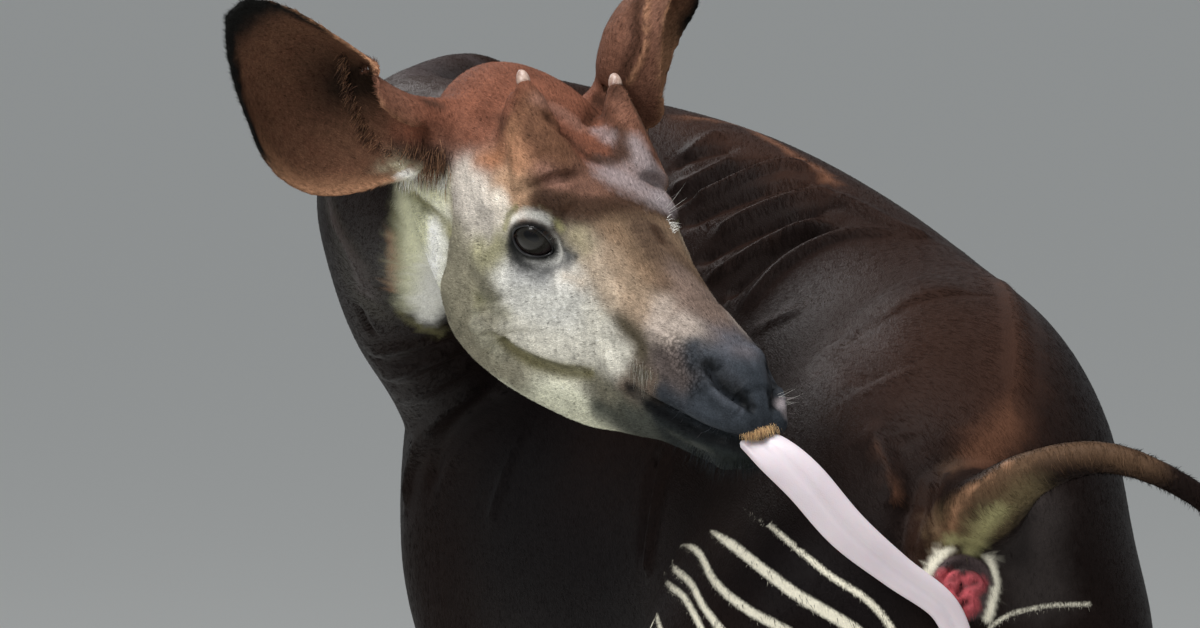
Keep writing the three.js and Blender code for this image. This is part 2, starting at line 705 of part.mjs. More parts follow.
// Tuft at the end of the tail: a narrow core with flat tapered locks round it.
function tuftBody() {
  const end = point(...TAIL[TAIL.length - 1].slice(1, 4));
  const down = end.clone().sub(point(...tableAt(TAIL, TAIL.length - 1.01).slice(1, 4))).normalize();
  const foot = end.clone().addScaledVector(down, GAP * 2);
  const core = solidOf(turnedLoft(foot, down, [[0, 11], [30, 15], [70, 14], [120, 6]], 10));
  const locks = Array.from({ length: TUFT_LOCKS }, (_, i) => {
    const turn = i * 2.4;
    const outward = point(Math.cos(turn), Math.sin(turn), 0);
    const start = 14 + (i % 4) * 16;
    const length = TUFT_LENGTH - start - (i % 3) * 22;
    const bow = 12 + (i % 5) * 2.5;
    const rows = [0, 1, 2, 3].map((n) => {
      const t = n / 3;
      const centre = foot.clone().addScaledVector(down, start + length * t);
      centre.addScaledVector(outward, 7 + bow * Math.sin(Math.PI * t * 0.75) - 9 * t * t);
      return [n, ...centre.toArray(), [6, 9, 7, 1.2][n], [3, 3.6, 2.6, 0.8][n]];
    });
    const shapeOf = ([, , , , half, thick]) => ({ half, rise: thick, drop: thick });
    return solidOf(pathLoft(rows, 5, 6, shapeOf, () => outward.clone()));
  });
  return joined([core, ...locks]);
}

// Head with its lids, lips, mouth line and nostrils, less what is set into it
function carvedHead(ears, tongue) {
  const sides = [1, -1];
  const lids = sides.map((side) => solidOf(eyeBall(side, EYE_RADIUS + LID_THICKNESS)));
  const lips = sides.flatMap((side) => [lipRim(side, 8), lipRim(side, -9)]);
  const whole = joined([solidOf(headShape), ...lids, ...lips]);
  const cutters = sides.flatMap((side) => [
    lidOpening(side),
    solidOf(eyeBall(side, EYE_RADIUS + GAP)),
    mouthCut(side),
    nostrilCut(side),
    socketFor(hornBody(side, HORN)),
  ]);
  const earSockets = ears.flatMap((ear) => [socketFor(earRoot(ear)), socketFor(earShell(ear))]);
  return without(whole, [...cutters, ...earSockets, socketFor(tongue)]);
}

const tongue = tongueBody();
addPart('head', carvedHead([EARS.right, EARS.left], tongue), 'face', headPlace);
addPart('tongue', solidOf(tongue), 'tongue', headPlace);
for (const [name, side] of [['left', 1], ['right', -1]]) {
  addPart(`eye_${name}`, solidOf(eyeBall(side, EYE_RADIUS)), 'eye', headPlace);
  addPart(`horn_${name}`, solidOf(hornBody(side, HORN)), 'face', headPlace);
  addPart(`horn_tip_${name}`, solidOf(hornBody(side, HORN_BARE)), 'horn', headPlace);
  addPart(`ear_${name}`, joined([solidOf(earShell(EARS[name])), solidOf(earRoot(EARS[name]))]), 'ear', headPlace);
}

const trunk = trunkBody();
const legs = LEGS.map(legBody);
const headInWorld = headShape.clone().applyMatrix4(headPlace.matrix);

// Neck, let into the trunk and the head, in two lengths
const neckShape = ([, , , , rise, drop, half, narrow]) => ({ half, rise, drop, square: 2.1, narrow });
const neck = without(solidOf(pathLoft(NECK, NECK_RINGS, NECK_SIDES, neckShape)), [
  socketFor(trunk),
  ...legs.slice(2).map(socketFor),
  socketFor(headInWorld),
]);
const neckRow = tableAt(NECK, NECK_CUT_AT);
const neckBefore = tableAt(NECK, NECK_CUT_AT - 0.1);
const neckMiddle = point(...neckRow.slice(1, 4));
const neckAlong = neckMiddle.clone().sub(point(...neckBefore.slice(1, 4)));
const neckLengths = without(largest(neck), [parting(neckMiddle, neckAlong, NECK_CUT)]).decompose();
neckLengths.sort((a, b) => b.volume() - a.volume());
addPart('neck_lower', neckLengths[0], 'coat');
addPart('neck_upper', neckLengths[1], 'coat');

// Trunk and legs as one body, parted across the spine, at the tops of the legs and at their joints
const tail = tailBody();
const flesh = without(joined([solidOf(trunk), ...legs.map(solidOf)]), [socketFor(tail)]);
const trunkPartings = TRUNK_CUTS.map((s) => {
  const { place, heading } = spineAt(s);
  return parting(place.setZ(TRUNK_MIDDLE_HEIGHT), point(Math.cos(heading), Math.sin(heading), 0), WIDE_CUT);
});
const levelCut = (middle, height) => parting(middle.clone().setZ(height), point(0, 0, 1), LEG_CUT);
const legPartings = [
  levelCut(REAR_MIDDLE, LEG_TOP_CUT),
  levelCut(FRONT_MIDDLE, LEG_TOP_CUT),
  levelCut(REAR_MIDDLE, HOCK_CUT),
  levelCut(FRONT_MIDDLE, KNEE_CUT),
  levelCut(REAR_MIDDLE, FETLOCK_CUT),
  levelCut(FRONT_MIDDLE, FETLOCK_CUT),
];
const pieces = without(flesh, [...trunkPartings, ...legPartings]).decompose();

// The piece whose middle is nearest to a place.
function pieceAt(place) {
  const distance = (piece) => {
    const { min, max } = piece.boundingBox();
    return point(...min).add(point(...max)).multiplyScalar(0.5).distanceTo(place);
  };
  return pieces.slice().sort((a, b) => distance(a) - distance(b))[0];
}

const trunkMiddle = (s) => spineAt(s).place.setZ(TRUNK_MIDDLE_HEIGHT);
addPart('hindquarters', pieceAt(trunkMiddle(230)), 'coat');
addPart('barrel', pieceAt(trunkMiddle(690)), 'coat');
addPart('shoulders', pieceAt(trunkMiddle(1100)), 'coat');
for (const leg of LEGS) {
  const { name, rows, side, rootAt, joint } = leg;
  const { place, heading } = spineAt(rootAt);
  const at = (height) => {
    const [, s, out] = tableAt(rows.slice().reverse(), height);
    const along = s - rootAt;
    return point(
      place.x + Math.cos(heading) * along - Math.sin(heading) * side * out,
      place.y + Math.sin(heading) * along + Math.cos(heading) * side * out,
      height,
    );
  };
  addPart(`${name}_leg`, pieceAt(at((LEG_TOP_CUT + joint) / 2)), 'legs');
  addPart(`${name}_cannon`, pieceAt(at((joint + FETLOCK_CUT) / 2)), 'legs');
  addPart(`${name}_pastern`, pieceAt(at((FETLOCK_CUT + CORONET) / 2)), 'legs');
  addPart(`${name}_hoof_outer`, solidOf(hoofBody(leg, side)), 'hoof');
  addPart(`${name}_hoof_inner`, solidOf(hoofBody(leg, -side)), 'hoof');
}

addPart('tail', solidOf(tail), 'coat');
addPart('tail_tuft', tuftBody(), 'hair');

// The origin goes to the middle of the whole body's footprint
okapi.updateMatrixWorld(true);
const bounds = new THREE.Box3().setFromObject(okapi, true);
const middle = bounds.getCenter(point(0, 0, 0));
okapi.position.set(-middle.x, -middle.y, -bounds.min.z);

export default okapi;
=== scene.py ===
"""A life-size okapi that turns its head back along its flank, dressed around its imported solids."""

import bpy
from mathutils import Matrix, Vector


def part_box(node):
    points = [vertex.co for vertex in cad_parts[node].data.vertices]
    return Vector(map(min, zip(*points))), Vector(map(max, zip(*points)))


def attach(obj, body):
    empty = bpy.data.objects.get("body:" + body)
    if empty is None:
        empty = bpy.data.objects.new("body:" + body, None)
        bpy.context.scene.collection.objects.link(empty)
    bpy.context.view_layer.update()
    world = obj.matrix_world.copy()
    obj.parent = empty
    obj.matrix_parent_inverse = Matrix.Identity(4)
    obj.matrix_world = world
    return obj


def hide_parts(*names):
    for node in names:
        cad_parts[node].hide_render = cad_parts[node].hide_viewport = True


bl_info = {
    "name": "Okapi Looking Back",
    "version": (1, 0, 0),
    "blender": (4, 5, 0),
    "location": "View3D > Sidebar > Okapi",
    "description": "Dresses the solids of a standing okapi with skin, coat, eyes, horn, hooves and tongue",
    "category": "Object",
}

import math

import bmesh
import bpy
import numpy as np
from mathutils import Matrix, Vector
from mathutils.bvhtree import BVHTree

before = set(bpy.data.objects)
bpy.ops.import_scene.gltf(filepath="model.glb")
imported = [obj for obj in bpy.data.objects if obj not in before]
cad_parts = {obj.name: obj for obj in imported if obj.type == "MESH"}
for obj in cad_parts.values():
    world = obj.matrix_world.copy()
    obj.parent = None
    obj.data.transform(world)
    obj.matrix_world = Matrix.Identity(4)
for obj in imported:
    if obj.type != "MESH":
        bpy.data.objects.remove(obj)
MM = 0.001


# Heights on hind legs and on fore legs, in metres: between which the pale stocking ends, above which there
# is none, and between which the leg bands fade in at the top and at the foot
STOCKING_ENDS = ((0.555, 0.53), (0.48, 0.455))
STOCKING_LIMITS = (0.545, 0.47)
BAND_TOPS = ((0.90, 0.84), (0.80, 0.74))
BAND_FEET = ((0.57, 0.60), (0.50, 0.53))
# Height and reach of the dark ring above each hoof, and distance from one leg band to the next
ANKLET_HEIGHT = 0.19
ANKLET_REACH = 0.028
BAND_STEP_MM = 41.0
# Rounds of smoothing of the fused solids, and how far the head is pressed in below its finer form
ROUGH_ROUNDS = 110
HEAD_PRESS = 8 * MM
# Longest edges left near eyes and lips, along the stripes and below the tail, in millimetres
FINE_EDGE = 1.5
STRIPE_EDGES = (7.5, 4.2)
VENT_EDGES = (7.5, 4.2, 2.6)
VENT_REACH = 44
# Half length and half height of the pupil, and thickness of a lid's edge, in millimetres
PUPIL_REACH = (8.5, 4.5)
LID_EDGE_RADIUS = 1.1
# Tuft of the tail
TUFT_HAIRS = 1100
TUFT_STEPS = 8
# Coats, in millimetres. Columns: name, region, number of hairs, length, width, lift, slot, seed
COAT_PLANS = (
    ("face_coat", "face", 170000, 5.0, 0.5, 0.9, "face_coat", 5),
    ("ear_coat", "ears", 90000, 6.0, 0.5, 0.9, "ear_coat", 6),
    ("haunch_coat", "haunch", 190000, 5.5, 0.6, 0.6, "body_coat", 7),
    ("trunk_coat_a", "trunk", 195000, 10.0, 0.8, 0.6, "body_coat", 8),
    ("trunk_coat_b", "trunk", 195000, 10.0, 0.8, 0.6, "body_coat", 9),
)
# Stage. Columns of the lamps: name, place, size, power
FLOOR_REACH = 300
LAMPS = (
    ("overhead", (-0.9, 0.4, 4.4), 1.6, 105),
    ("key", (-3.4, 2.4, 4.0), 1.6, 125),
    ("fill", (-4.2, -3.4, 2.2), 3.0, 26),
    ("rim", (3.0, 1.6, 3.4), 1.2, 30),
)
LAMPS_AIM = (-0.2, 0.1, 1.25)
SKY = (0.9, 0.95, 1, 1)
SKY_STRENGTH = 0.34


def middle_of(node):
    """Middle of a node's box."""
    low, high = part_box(node)
    return np.array((low + high) / 2)


def turning(axis, degrees):
    """Rotation about one axis as an array."""
    return np.array(Matrix.Rotation(math.radians(degrees), 3, axis))


# The head's own frame: origin midway between the eyes, +X to the nose, +Y its left, +Z its crown
HEAD_TURN = turning("Z", -144.4) @ turning("Y", 14.7) @ turning("X", -2.6)
EYE_PLACE = np.array((-11, 60, -1)) * MM
EYE_RADIUS = 22 * MM
HEAD_AT = (middle_of("eye_left") + middle_of("eye_right")) / 2 - HEAD_TURN @ (EYE_PLACE * (1, 0, 1))
# The sculptor's frame: +X the way the hips point, its origin on the floor below them
HIPS_AT = HEAD_AT - np.array((-0.633, 0.318, 1.450))


def on_head(points):
    """Points of the head's frame, in millimetres, as points of the whole body."""
    return np.asarray(points, float) * MM @ HEAD_TURN.T + HEAD_AT


def in_head(points):
    """Points of the whole body in the head's frame, in millimetres."""
    return (np.asarray(points, float) - HEAD_AT) @ HEAD_TURN / MM


def on_body(points):
    """Points of the sculptor's frame, in millimetres, as points of the whole body."""
    return np.asarray(points, float) * MM + HIPS_AT


def sided(place, side):
    """Place of the left side, or its mirror image where side is -1."""
    return np.array(place, float) * (1, side, 1)


# The camera of the photograph, whose picture is 1200 by 628 pixels
PICTURE_WIDTH = 1200
PICTURE_MIDDLE = (600, 314)
FOCUS_PX = 4800
SENSOR_MM = 36
CAMERA_TILT = 4.2
CAMERA_AT = HIPS_AT + np.array((-5.0, 0.317, 1.70))
LOOKING = np.array((math.cos(math.radians(CAMERA_TILT)), 0, -math.sin(math.radians(CAMERA_TILT))))
RIGHTWARDS = np.array((0.0, -1.0, 0.0))
UPWARDS = np.cross(RIGHTWARDS, LOOKING)


def sight(pixel):
    """Direction from the camera through a pixel of the photograph."""
    across, down = (pixel[0] - PICTURE_MIDDLE[0]) / FOCUS_PX, (pixel[1] - PICTURE_MIDDLE[1]) / FOCUS_PX
    line = LOOKING + across * RIGHTWARDS - down * UPWARDS
    return line / np.linalg.norm(line)


# Trunk, neck and legs come from the solids. Head, in its frame, in millimetres. Columns: x, top, widest
# level, bottom, half width, roundness of the upper and of the lower part, narrowing towards the bottom
HEAD_ROWS = [
    (-238, 68, 5, -61, 49, 2.0, 2.0, 0.00),
    (-222, 98, 5, -81, 62, 2.0, 2.0, 0.00),
    (-195, 112, 5, -106, 71, 2.1, 2.1, 0.00),
    (-160, 115, 2, -128, 77, 2.2, 2.2, 0.00),
    (-120, 111, -2, -147, 82, 2.3, 2.2, 0.00),
    (-80, 94, -5, -161, 86, 2.4, 2.2, 0.02),
    (-40, 73, -3, -166, 85, 2.6, 2.2, 0.03),
    (0, 55, 0, -164, 77, 2.7, 2.2, 0.04),
    (35, 41, -8, -162, 67, 2.5, 2.2, 0.04),
    (75, 26, -20, -157, 58, 2.2, 2.2, 0.04),
    (115, 11, -32, -151, 51, 2.1, 2.2, 0.04),
    (155, -3, -45, -143, 46, 2.1, 2.2, 0.04),
    (195, -16, -56, -139, 43, 2.1, 2.3, 0.04),
    (228, -30, -66, -137, 42, 2.2, 2.3, 0.05),
    (252, -45, -76, -134, 39, 2.2, 2.3, 0.06),
    (270, -60, -84, -123, 32, 2.1, 2.2, 0.06),
    (281, -76, -90, -105, 20, 2.0, 2.0, 0.03),
    (285, -86, -91, -97, 8, 2.0, 2.0, 0.00),
]

# Skin-covered horns and their bare tips. Columns: distance along the horn, radius
HORN_FOOT = (-42, 47, 58)
HORN_TIP = (-94, 53, 130)
HORN_ROWS = [(-22, 36), (-8, 34), (6, 30), (22, 25), (40, 19.5), (56, 14.5), (70, 10), (79, 6.6)]
# Ridge behind the right horn that joins it to the crown, in the same columns
RIDGE_FOOT = (-70, 45, 58)
RIDGE_TIP = (-102, 52, 118)
RIDGE_ROWS = [(-20, 31), (0, 30), (18, 25), (36, 18), (50, 12), (58, 7)]
TIP_ROWS = [(70, 4), (76, 6.3), (80, 6.3), (84, 5.2), (87, 3.4), (88.5, 1.4)]

# Ear sections along its length. Columns: share of the length, half chord, depth of the cup,
# wrap on the side of the crown and on the side of the lobe in degrees
EAR_ROWS = [
    (0.0, 36, 28, 160, 156),
    (0.1, 38, 33, 156, 150),
    (0.2, 46, 40, 149, 122),
    (0.32, 59, 50, 138, 102),
    (0.45, 70, 57, 121, 92),
    (0.58, 69, 58, 102, 85),
    (0.72, 60, 49, 84, 81),
    (0.84, 49, 34, 80, 67),
    (0.93, 35, 19, 75, 62),
    (1.0, 16, 6, 70, 66),
]
EAR_WALL = 6.5
EARS = {
    "right": {
        "side": -1,
        "opens": (0.94, -0.1, -0.1),
        "path": [
            (0, -170, -64, 46),
            (0.22, -182, -128, 40),
            (0.47, -194, -173, 44),
            (0.72, -206, -213, 78),
            (1, -214, -290, 147),
        ],
    },
    "left": {
        "side": 1,
        "opens": (0.75, 0.6, 0.1),
        "path": [
            (0, -165, 80, 46),
            (0.25, -148, 122, 84),
            (0.5, -132, 133, 140),
            (0.75, -120, 152, 196),
            (1, -116, 174, 251),
        ],
    },
}

# Tongue, in the head's frame. Columns: number, x, y, z, half width, half thickness, normal x, y, z
TONGUE_ROWS = [
    (0, 200, -3, -104, 13, 4.5, 0, 0, 1),
    (1, 240, -4, -100, 14, 5.5, 0.1, -0.05, 1),
    (2, 270, -2, -99, 16.5, 6, 0.3, -0.2, 0.93),
    (3, 296, 7, -106, 19.5, 6.3, 0.55, -0.4, 0.73),
    (4, 322, 26, -123, 19.5, 6, 0.72, -0.54, 0.44),
    (5, 354, 56, -156, 18.5, 5.5, 0.78, -0.58, 0.22),
    (6, 383, 95, -184, 15.5, 5.2, 0.78, -0.59, 0.18),
    (7, 409, 132, -207, 13.5, 5, 0.78, -0.59, 0.18),
    (8, 423, 149, -234, 12, 4.5, 0.8, -0.58, 0.15),
    (9, 431, 159, -256, 8, 3.5, 0.8, -0.58, 0.15),
    (10, 436, 165, -268, 3, 1.6, 0.8, -0.58, 0.15),
]

# Tail in the sculptor's frame. Columns: number, x, y, z, half width, half thickness
TAIL_ROWS = [
    (0, -690, -16, 1206, 44, 38),
    (1, -756, -18, 1210, 43, 37),
    (2, -802, -27, 1224, 36, 31),
    (3, -838, -58, 1254, 24, 21),
    (4, -864, -112, 1272, 16, 15),
    (5, -878, -168, 1258, 13, 12),
    (6, -886, -220, 1222, 12, 11),
    (7, -888, -244, 1170, 12, 11),
]

# Back of the tail's root, in the same columns
SADDLE_ROWS = [
    (0, -560, 4, 1262, 44, 34),
    (1, -640, 0, 1252, 50, 40),
    (2, -700, -6, 1232, 50, 42),
    (3, -745, -13, 1218, 46, 38),
    (4, -790, -22, 1220, 34, 30),
]

FLESH_NODES = ["head", "neck_lower", "neck_upper", "hindquarters", "barrel", "shoulders"]
LOWER_LEG_NODES = [
    f"{end}_{side}_{part}"
    for end in ("hind", "fore")
    for side in ("left", "right")
    for part in ("leg", "cannon", "pastern")
]


# Numbers and meshes

def eased(low, high, value):
    """Smooth step from 0 at low to 1 at high."""
    t = np.clip((np.asarray(value, float) - low) / (high - low), 0, 1)
    return t * t * (3 - 2 * t)


def table_at(rows, places):
    """Smooth values of every column of a table at places on its first column."""
    rows = np.array(rows, float)
    x = rows[:, 0]
    places = np.clip(np.atleast_1d(places), x[0], x[-1])
    i = np.clip(np.searchsorted(x, places, side="right") - 1, 0, len(x) - 2)
    span = (x[i + 1] - x[i])[:, None]
    t = (places[:, None] - x[i][:, None]) / span
    count = np.arange(len(x))
    before, after = np.maximum(count - 1, 0), np.minimum(count + 1, len(x) - 1)
    slope = (rows[after] - rows[before]) / (x[after] - x[before])[:, None]
    start, end = rows[i], rows[i + 1]
    hold = start * (2 * t**3 - 3 * t**2 + 1) + end * (3 * t**2 - 2 * t**3)
    return hold + span * (slope[i] * (t**3 - 2 * t**2 + t) + slope[i + 1] * (t**3 - t**2))


def unit(vectors):
    """Vectors at length one."""
    vectors = np.asarray(vectors, float)
    return vectors / np.maximum(np.linalg.norm(vectors, axis=-1, keepdims=True), 1e-12)


def section(sides, half, rise, drop, upper=2.0, lower=2.0, narrow=0.0):
    """Sideways and upward places of one rounded ring."""
    angle = 2 * np.pi * np.arange(sides) / sides
    c, s = np.cos(angle), np.sin(angle)
    power = np.where(c > 0, 2 / upper, 2 / lower)
    height = np.sign(c) * np.abs(c) ** power * np.where(c > 0, rise, drop)
    below = np.clip(-height / drop, 0, 1)
    width = np.sign(s) * np.abs(s) ** power * half * (1 - narrow * below**1.5)
    return width, height


def closed_skin(rings):
    """Points and faces of a closed body through rings of equally many points."""
    rings = np.asarray(rings, float)
    count, sides = rings.shape[:2]
    points = rings.reshape(-1, 3)
    r, i = np.meshgrid(np.arange(count - 1), np.arange(sides), indexing="ij")
    a, b = (r * sides + i).ravel(), (r * sides + (i + 1) % sides).ravel()
    faces = np.stack([a, b, b + sides, a + sides], 1).tolist()
    points = np.vstack([points, rings[0].mean(0), rings[-1].mean(0)])
    tail = (count - 1) * sides
    for k in range(sides):
        faces.append([count * sides, (k + 1) % sides, k])
        faces.append([count * sides + 1, tail + k, tail + (k + 1) % sides])
    return points, faces


def loft_along(rows, count, sides, upper=2.0, lower=2.0):
    """Rings of a body along a curved path. Columns: number, x, y, z, half width, half thickness, normal."""
    places = np.linspace(rows[0][0], rows[-1][0], count)
    at = table_at(rows, places)
    step = 0.01
    ahead = unit(table_at(rows, places + step)[:, 1:4] - table_at(rows, places - step)[:, 1:4])
    normal = at[:, 6:9] if at.shape[1] > 6 else (0.0, 0.0, 1.0)
    side = unit(np.cross(normal, ahead))
    up = np.cross(ahead, side)
    rings = []
    for k, (half, thick) in enumerate(at[:, 4:6]):
        width, height = section(sides, half, thick, thick, upper, lower)
        rings.append(at[k, 1:4] + width[:, None] * side[k] + height[:, None] * up[k])
    return np.array(rings)


def turned(foot, axis, rows, sides, rings=24):
    """Rings of a round body along a straight axis, smoothed from rows of distance and radius."""
    along = unit(axis)
    helper = (0, 0, 1) if abs(along[2]) < 0.9 else (1, 0, 0)
    side = unit(np.cross(helper, along))
    up = np.cross(along, side)
    at = table_at(rows, np.linspace(rows[0][0], rows[-1][0], rings))
    angle = 2 * np.pi * np.arange(sides) / sides
    circle = np.cos(angle)[:, None] * up + np.sin(angle)[:, None] * side
    return np.asarray(foot, float) + at[:, 0, None, None] * along + at[:, 1, None, None] * circle


def mesh_from(name, points, faces):
    """Mesh from points in metres and faces, with outward normals."""
    mesh = bpy.data.meshes.new(name)
    mesh.from_pydata(np.asarray(points).tolist(), [], faces)
    work = bmesh.new()
    work.from_mesh(mesh)
    bmesh.ops.recalc_face_normals(work, faces=work.faces)
    work.to_mesh(mesh)
    work.free()
    mesh.shade_smooth()
    return mesh


def piece_from(mesh, name, material):
    """Object of a finished mesh that rides on the body."""
    mesh.name = name
    mesh.materials.clear()
    mesh.materials.append(material)
    piece = bpy.data.objects.new(name, mesh)
    bpy.context.scene.collection.objects.link(piece)
    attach(piece, "root")
    return piece


def with_modifier(mesh, kind, **settings):
    """The mesh after one modifier."""
    stand = bpy.data.objects.new("stand", mesh)
    bpy.context.scene.collection.objects.link(stand)
    groups = settings.pop("weights", None)
    if groups is not None:
        group = stand.vertex_groups.new(name="weights")
        for level in np.unique(groups):
            group.add(np.flatnonzero(groups == level).tolist(), float(level), "REPLACE")
    modifier = stand.modifiers.new("step", kind)
    for key, value in settings.items():
        setattr(modifier, key, value)
    depsgraph = bpy.context.evaluated_depsgraph_get()
    result = bpy.data.meshes.new_from_object(stand.evaluated_get(depsgraph))
    bpy.data.objects.remove(stand)
    return result


def places_of(mesh):
    """Places of a mesh's vertices."""
    co = np.empty(len(mesh.vertices) * 3, np.float32)
    mesh.vertices.foreach_get("co", co)
    return co.reshape(-1, 3).astype(float)


def put_places(mesh, co):
    """Moves a mesh's vertices."""
    mesh.vertices.foreach_set("co", co.astype(np.float32).ravel())
    mesh.update()


def normals_of(mesh):
    """Vertex normals of a mesh."""
    no = np.empty(len(mesh.vertices) * 3, np.float32)
    mesh.vertex_normals.foreach_get("vector", no)
    return no.reshape(-1, 3).astype(float)


def edges_of(mesh):
    """Vertex pairs of a mesh's edges."""
    pairs = np.empty(len(mesh.edges) * 2, np.int32)
    mesh.edges.foreach_get("vertices", pairs)
    return pairs.reshape(-1, 2)


def relaxed(co, pairs, weight, rounds):
    """Places after rounds of averaging with their neighbours, as far as each weight allows."""
    weight = np.broadcast_to(weight, len(co))
    busy = weight > 0.002
    pairs = pairs[busy[pairs[:, 0]] | busy[pairs[:, 1]]]
    used, flat = np.unique(pairs, return_inverse=True)
    a, b = flat.reshape(-1, 2).T
    count = len(used)
    spots = co[used]
    ends = np.maximum(np.bincount(a, minlength=count) + np.bincount(b, minlength=count), 1)
    pull = 0.5 * (weight * busy)[used][:, None]
    for _ in range(rounds):
        mean = np.empty_like(spots)
        for k in range(3):
            total = np.bincount(a, spots[b, k], count) + np.bincount(b, spots[a, k], count)
            mean[:, k] = total / ends
        spots += pull * (mean - spots)
    co = co.copy()
    co[used] = spots
    return co


def solid_copy(node, swell=0.5 * MM):
    """Points and faces of a node, its doubles merged and a little swollen, so that neighbours fuse."""
    work = bmesh.new()
    work.from_mesh(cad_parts[node].data)
    bmesh.ops.remove_doubles(work, verts=work.verts, dist=1e-5)
    work.normal_update()
    points = np.array([v.co + v.normal * swell for v in work.verts])
    faces = [[v.index for v in f.verts] for f in work.faces]
    work.free()
    return points, faces


def voxelled(parts, size):
    """One closed mesh of square faces around several closed parts."""
    points, faces, start = [], [], 0
    for part_points, part_faces in parts:
        points.append(part_points)
        faces += [[start + i for i in face] for face in part_faces]
        start += len(part_points)
    raw = bpy.data.meshes.new("raw")
    raw.from_pydata(np.vstack(points).tolist(), [], faces)
    return with_modifier(raw, "REMESH", mode="VOXEL", voxel_size=size, adaptivity=0, use_smooth_shade=True)


# Shapes that the skin is fused from

def head_shape(sides=120, rings=150):
    """Head as a fine loft."""
    at = table_at(HEAD_ROWS, np.linspace(HEAD_ROWS[0][0], HEAD_ROWS[-1][0], rings))
    body = []
    for x, top, level, bottom, half, upper, lower, narrow in at:
        width, height = section(sides, half, top - level, level - bottom, upper, lower, narrow)
        body.append(np.stack([np.full(sides, x), width, height + level], 1))
    points, faces = closed_skin(body)
    return on_head(points), faces


def horn_shape(side, foot, tip, rows):
    """Round body of one horn, of its bare tip, or of the ridge behind it."""
    foot = sided(foot, side)
    points, faces = closed_skin(turned(foot, sided(tip, side) - foot, rows, 32))
    return on_head(points), faces


def ear_frame(ear, share):
    """Middle line, axis, opening side and crown side of an ear at shares of its length."""
    path = ear["path"]
    at = table_at(path, share)[:, 1:4]
    axis = unit(table_at(path, np.minimum(share + 0.02, 1))[:, 1:4] - table_at(path, share - 0.02)[:, 1:4])
    opens = np.array(ear["opens"], float)
    front = unit(opens - (axis @ opens)[:, None] * axis)
    crown = np.cross(front, axis) * ear["side"]
    return at, front, crown


def ear_shape(ear, rings=70, arc_points=56):
    """Cupped shell of one ear with a rounded edge, its foot closed."""
    share = np.linspace(0, 1, rings)
    at, front, crown = ear_frame(ear, share)
    rows = table_at(EAR_ROWS, share)
    t = np.linspace(-1, 1, arc_points)
    rim = np.cos(np.pi / 2 * t)
    loops = []
    for k in range(rings):
        _, chord, depth, wrap_crown, wrap_lobe = rows[k]
        wall = min(EAR_WALL, depth * 0.7)
        angle = np.radians(np.where(t > 0, wrap_crown, wrap_lobe) * t)
        outer, inner = [], []
        for inset, store in ((0.0, outer), (wall, inner)):
            less = inset * (0.55 + 0.45 * rim)
            width = (chord - less) * np.sin(angle)
            height = -(depth - less) * np.cos(angle)
            store.append(at[k] + width[:, None] * crown[k] + height[:, None] * front[k])
        loops.append(np.vstack([outer[0], inner[0][::-1]]))
    points, faces = closed_skin(loops)
    return on_head(points), faces


def ear_root(ear):
    """Round root that closes the foot of the ear and sinks into the head."""
    foot, second = np.array(ear["path"][0][1:], float), np.array(ear["path"][1][1:], float)
    points, faces = closed_skin(turned(foot, second - foot, [(-30, 24), (0, 32), (16, 34),
                                                             (30, 28)], 32, 12))
    return on_head(points), faces


def tail_shape(rows):
    """Tail, or the back of its root, as a fine loft."""
    points, faces = closed_skin(loft_along(rows, 120, 40))
    return on_body(points), faces


# Strokes: paths on the skin, given by pixels of the photograph or by places on the head or body

def finely(path, step):
    """Path with further points on its straight stretches."""
    path = np.asarray(path, float)
    out = [path[0]]
    for a, b in zip(path[:-1], path[1:]):
        pieces = max(1, math.ceil(np.linalg.norm(b - a) / step))
        out += [a + (b - a) * k / pieces for k in range(1, pieces + 1)]
    return np.array(out)


def seen_on(tree, pixels, step=10, smooth=2):
    """Places where the camera sees a path of pixels on the skin, or that lie nearest to its sight there."""
    start = Vector(CAMERA_AT)
    lines = [Vector(sight(pixel)) for pixel in finely(pixels, step)]
    spots = [tree.ray_cast(start, line)[0] for line in lines]
    reaches = [(spot - start).length if spot else None for spot in spots]
    met = [reach for reach in reaches if reach] or [(Vector(HEAD_AT) - start).length]
    found = []
    last = met[0]
    for line, spot, reach in zip(lines, spots, reaches):
        last = reach or last
        found.append(np.array(spot if spot else tree.find_nearest(start + line * last)[0]))
    found = np.array(found)
    for _ in range(smooth if len(found) > 2 else 0):
        found[1:-1] = 0.5 * found[1:-1] + 0.25 * (found[:-2] + found[2:])
    return found


def path_distance(points, path, reach):
    """Distance of points to a path, and how far along it, for those within reach of it."""
    low, high = path.min(0) - reach, path.max(0) + reach
    near = np.flatnonzero(((points >= low) & (points <= high)).all(1))
    best = np.full(len(near), np.inf)
    share = np.zeros(len(near))
    spots = points[near]
    if len(path) == 1:
        return near, np.linalg.norm(spots - path[0], axis=1), share + 0.5
    for k, (a, b) in enumerate(zip(path[:-1], path[1:])):
        run = b - a
        t = np.clip((spots - a) @ run / max(run @ run, 1e-12), 0, 1)
        gap = np.linalg.norm(spots - a - t[:, None] * run, axis=1)
        closer = gap < best
        best = np.where(closer, gap, best)
        share = np.where(closer, (k + t) / (len(path) - 1), share)
    return near, best, share


def folded(points):
    """Head places with the left half laid over the right, so that a stroke marks both."""
    points = in_head(points)
    return np.column_stack([points[:, 0], -np.abs(points[:, 1]), points[:, 2]])


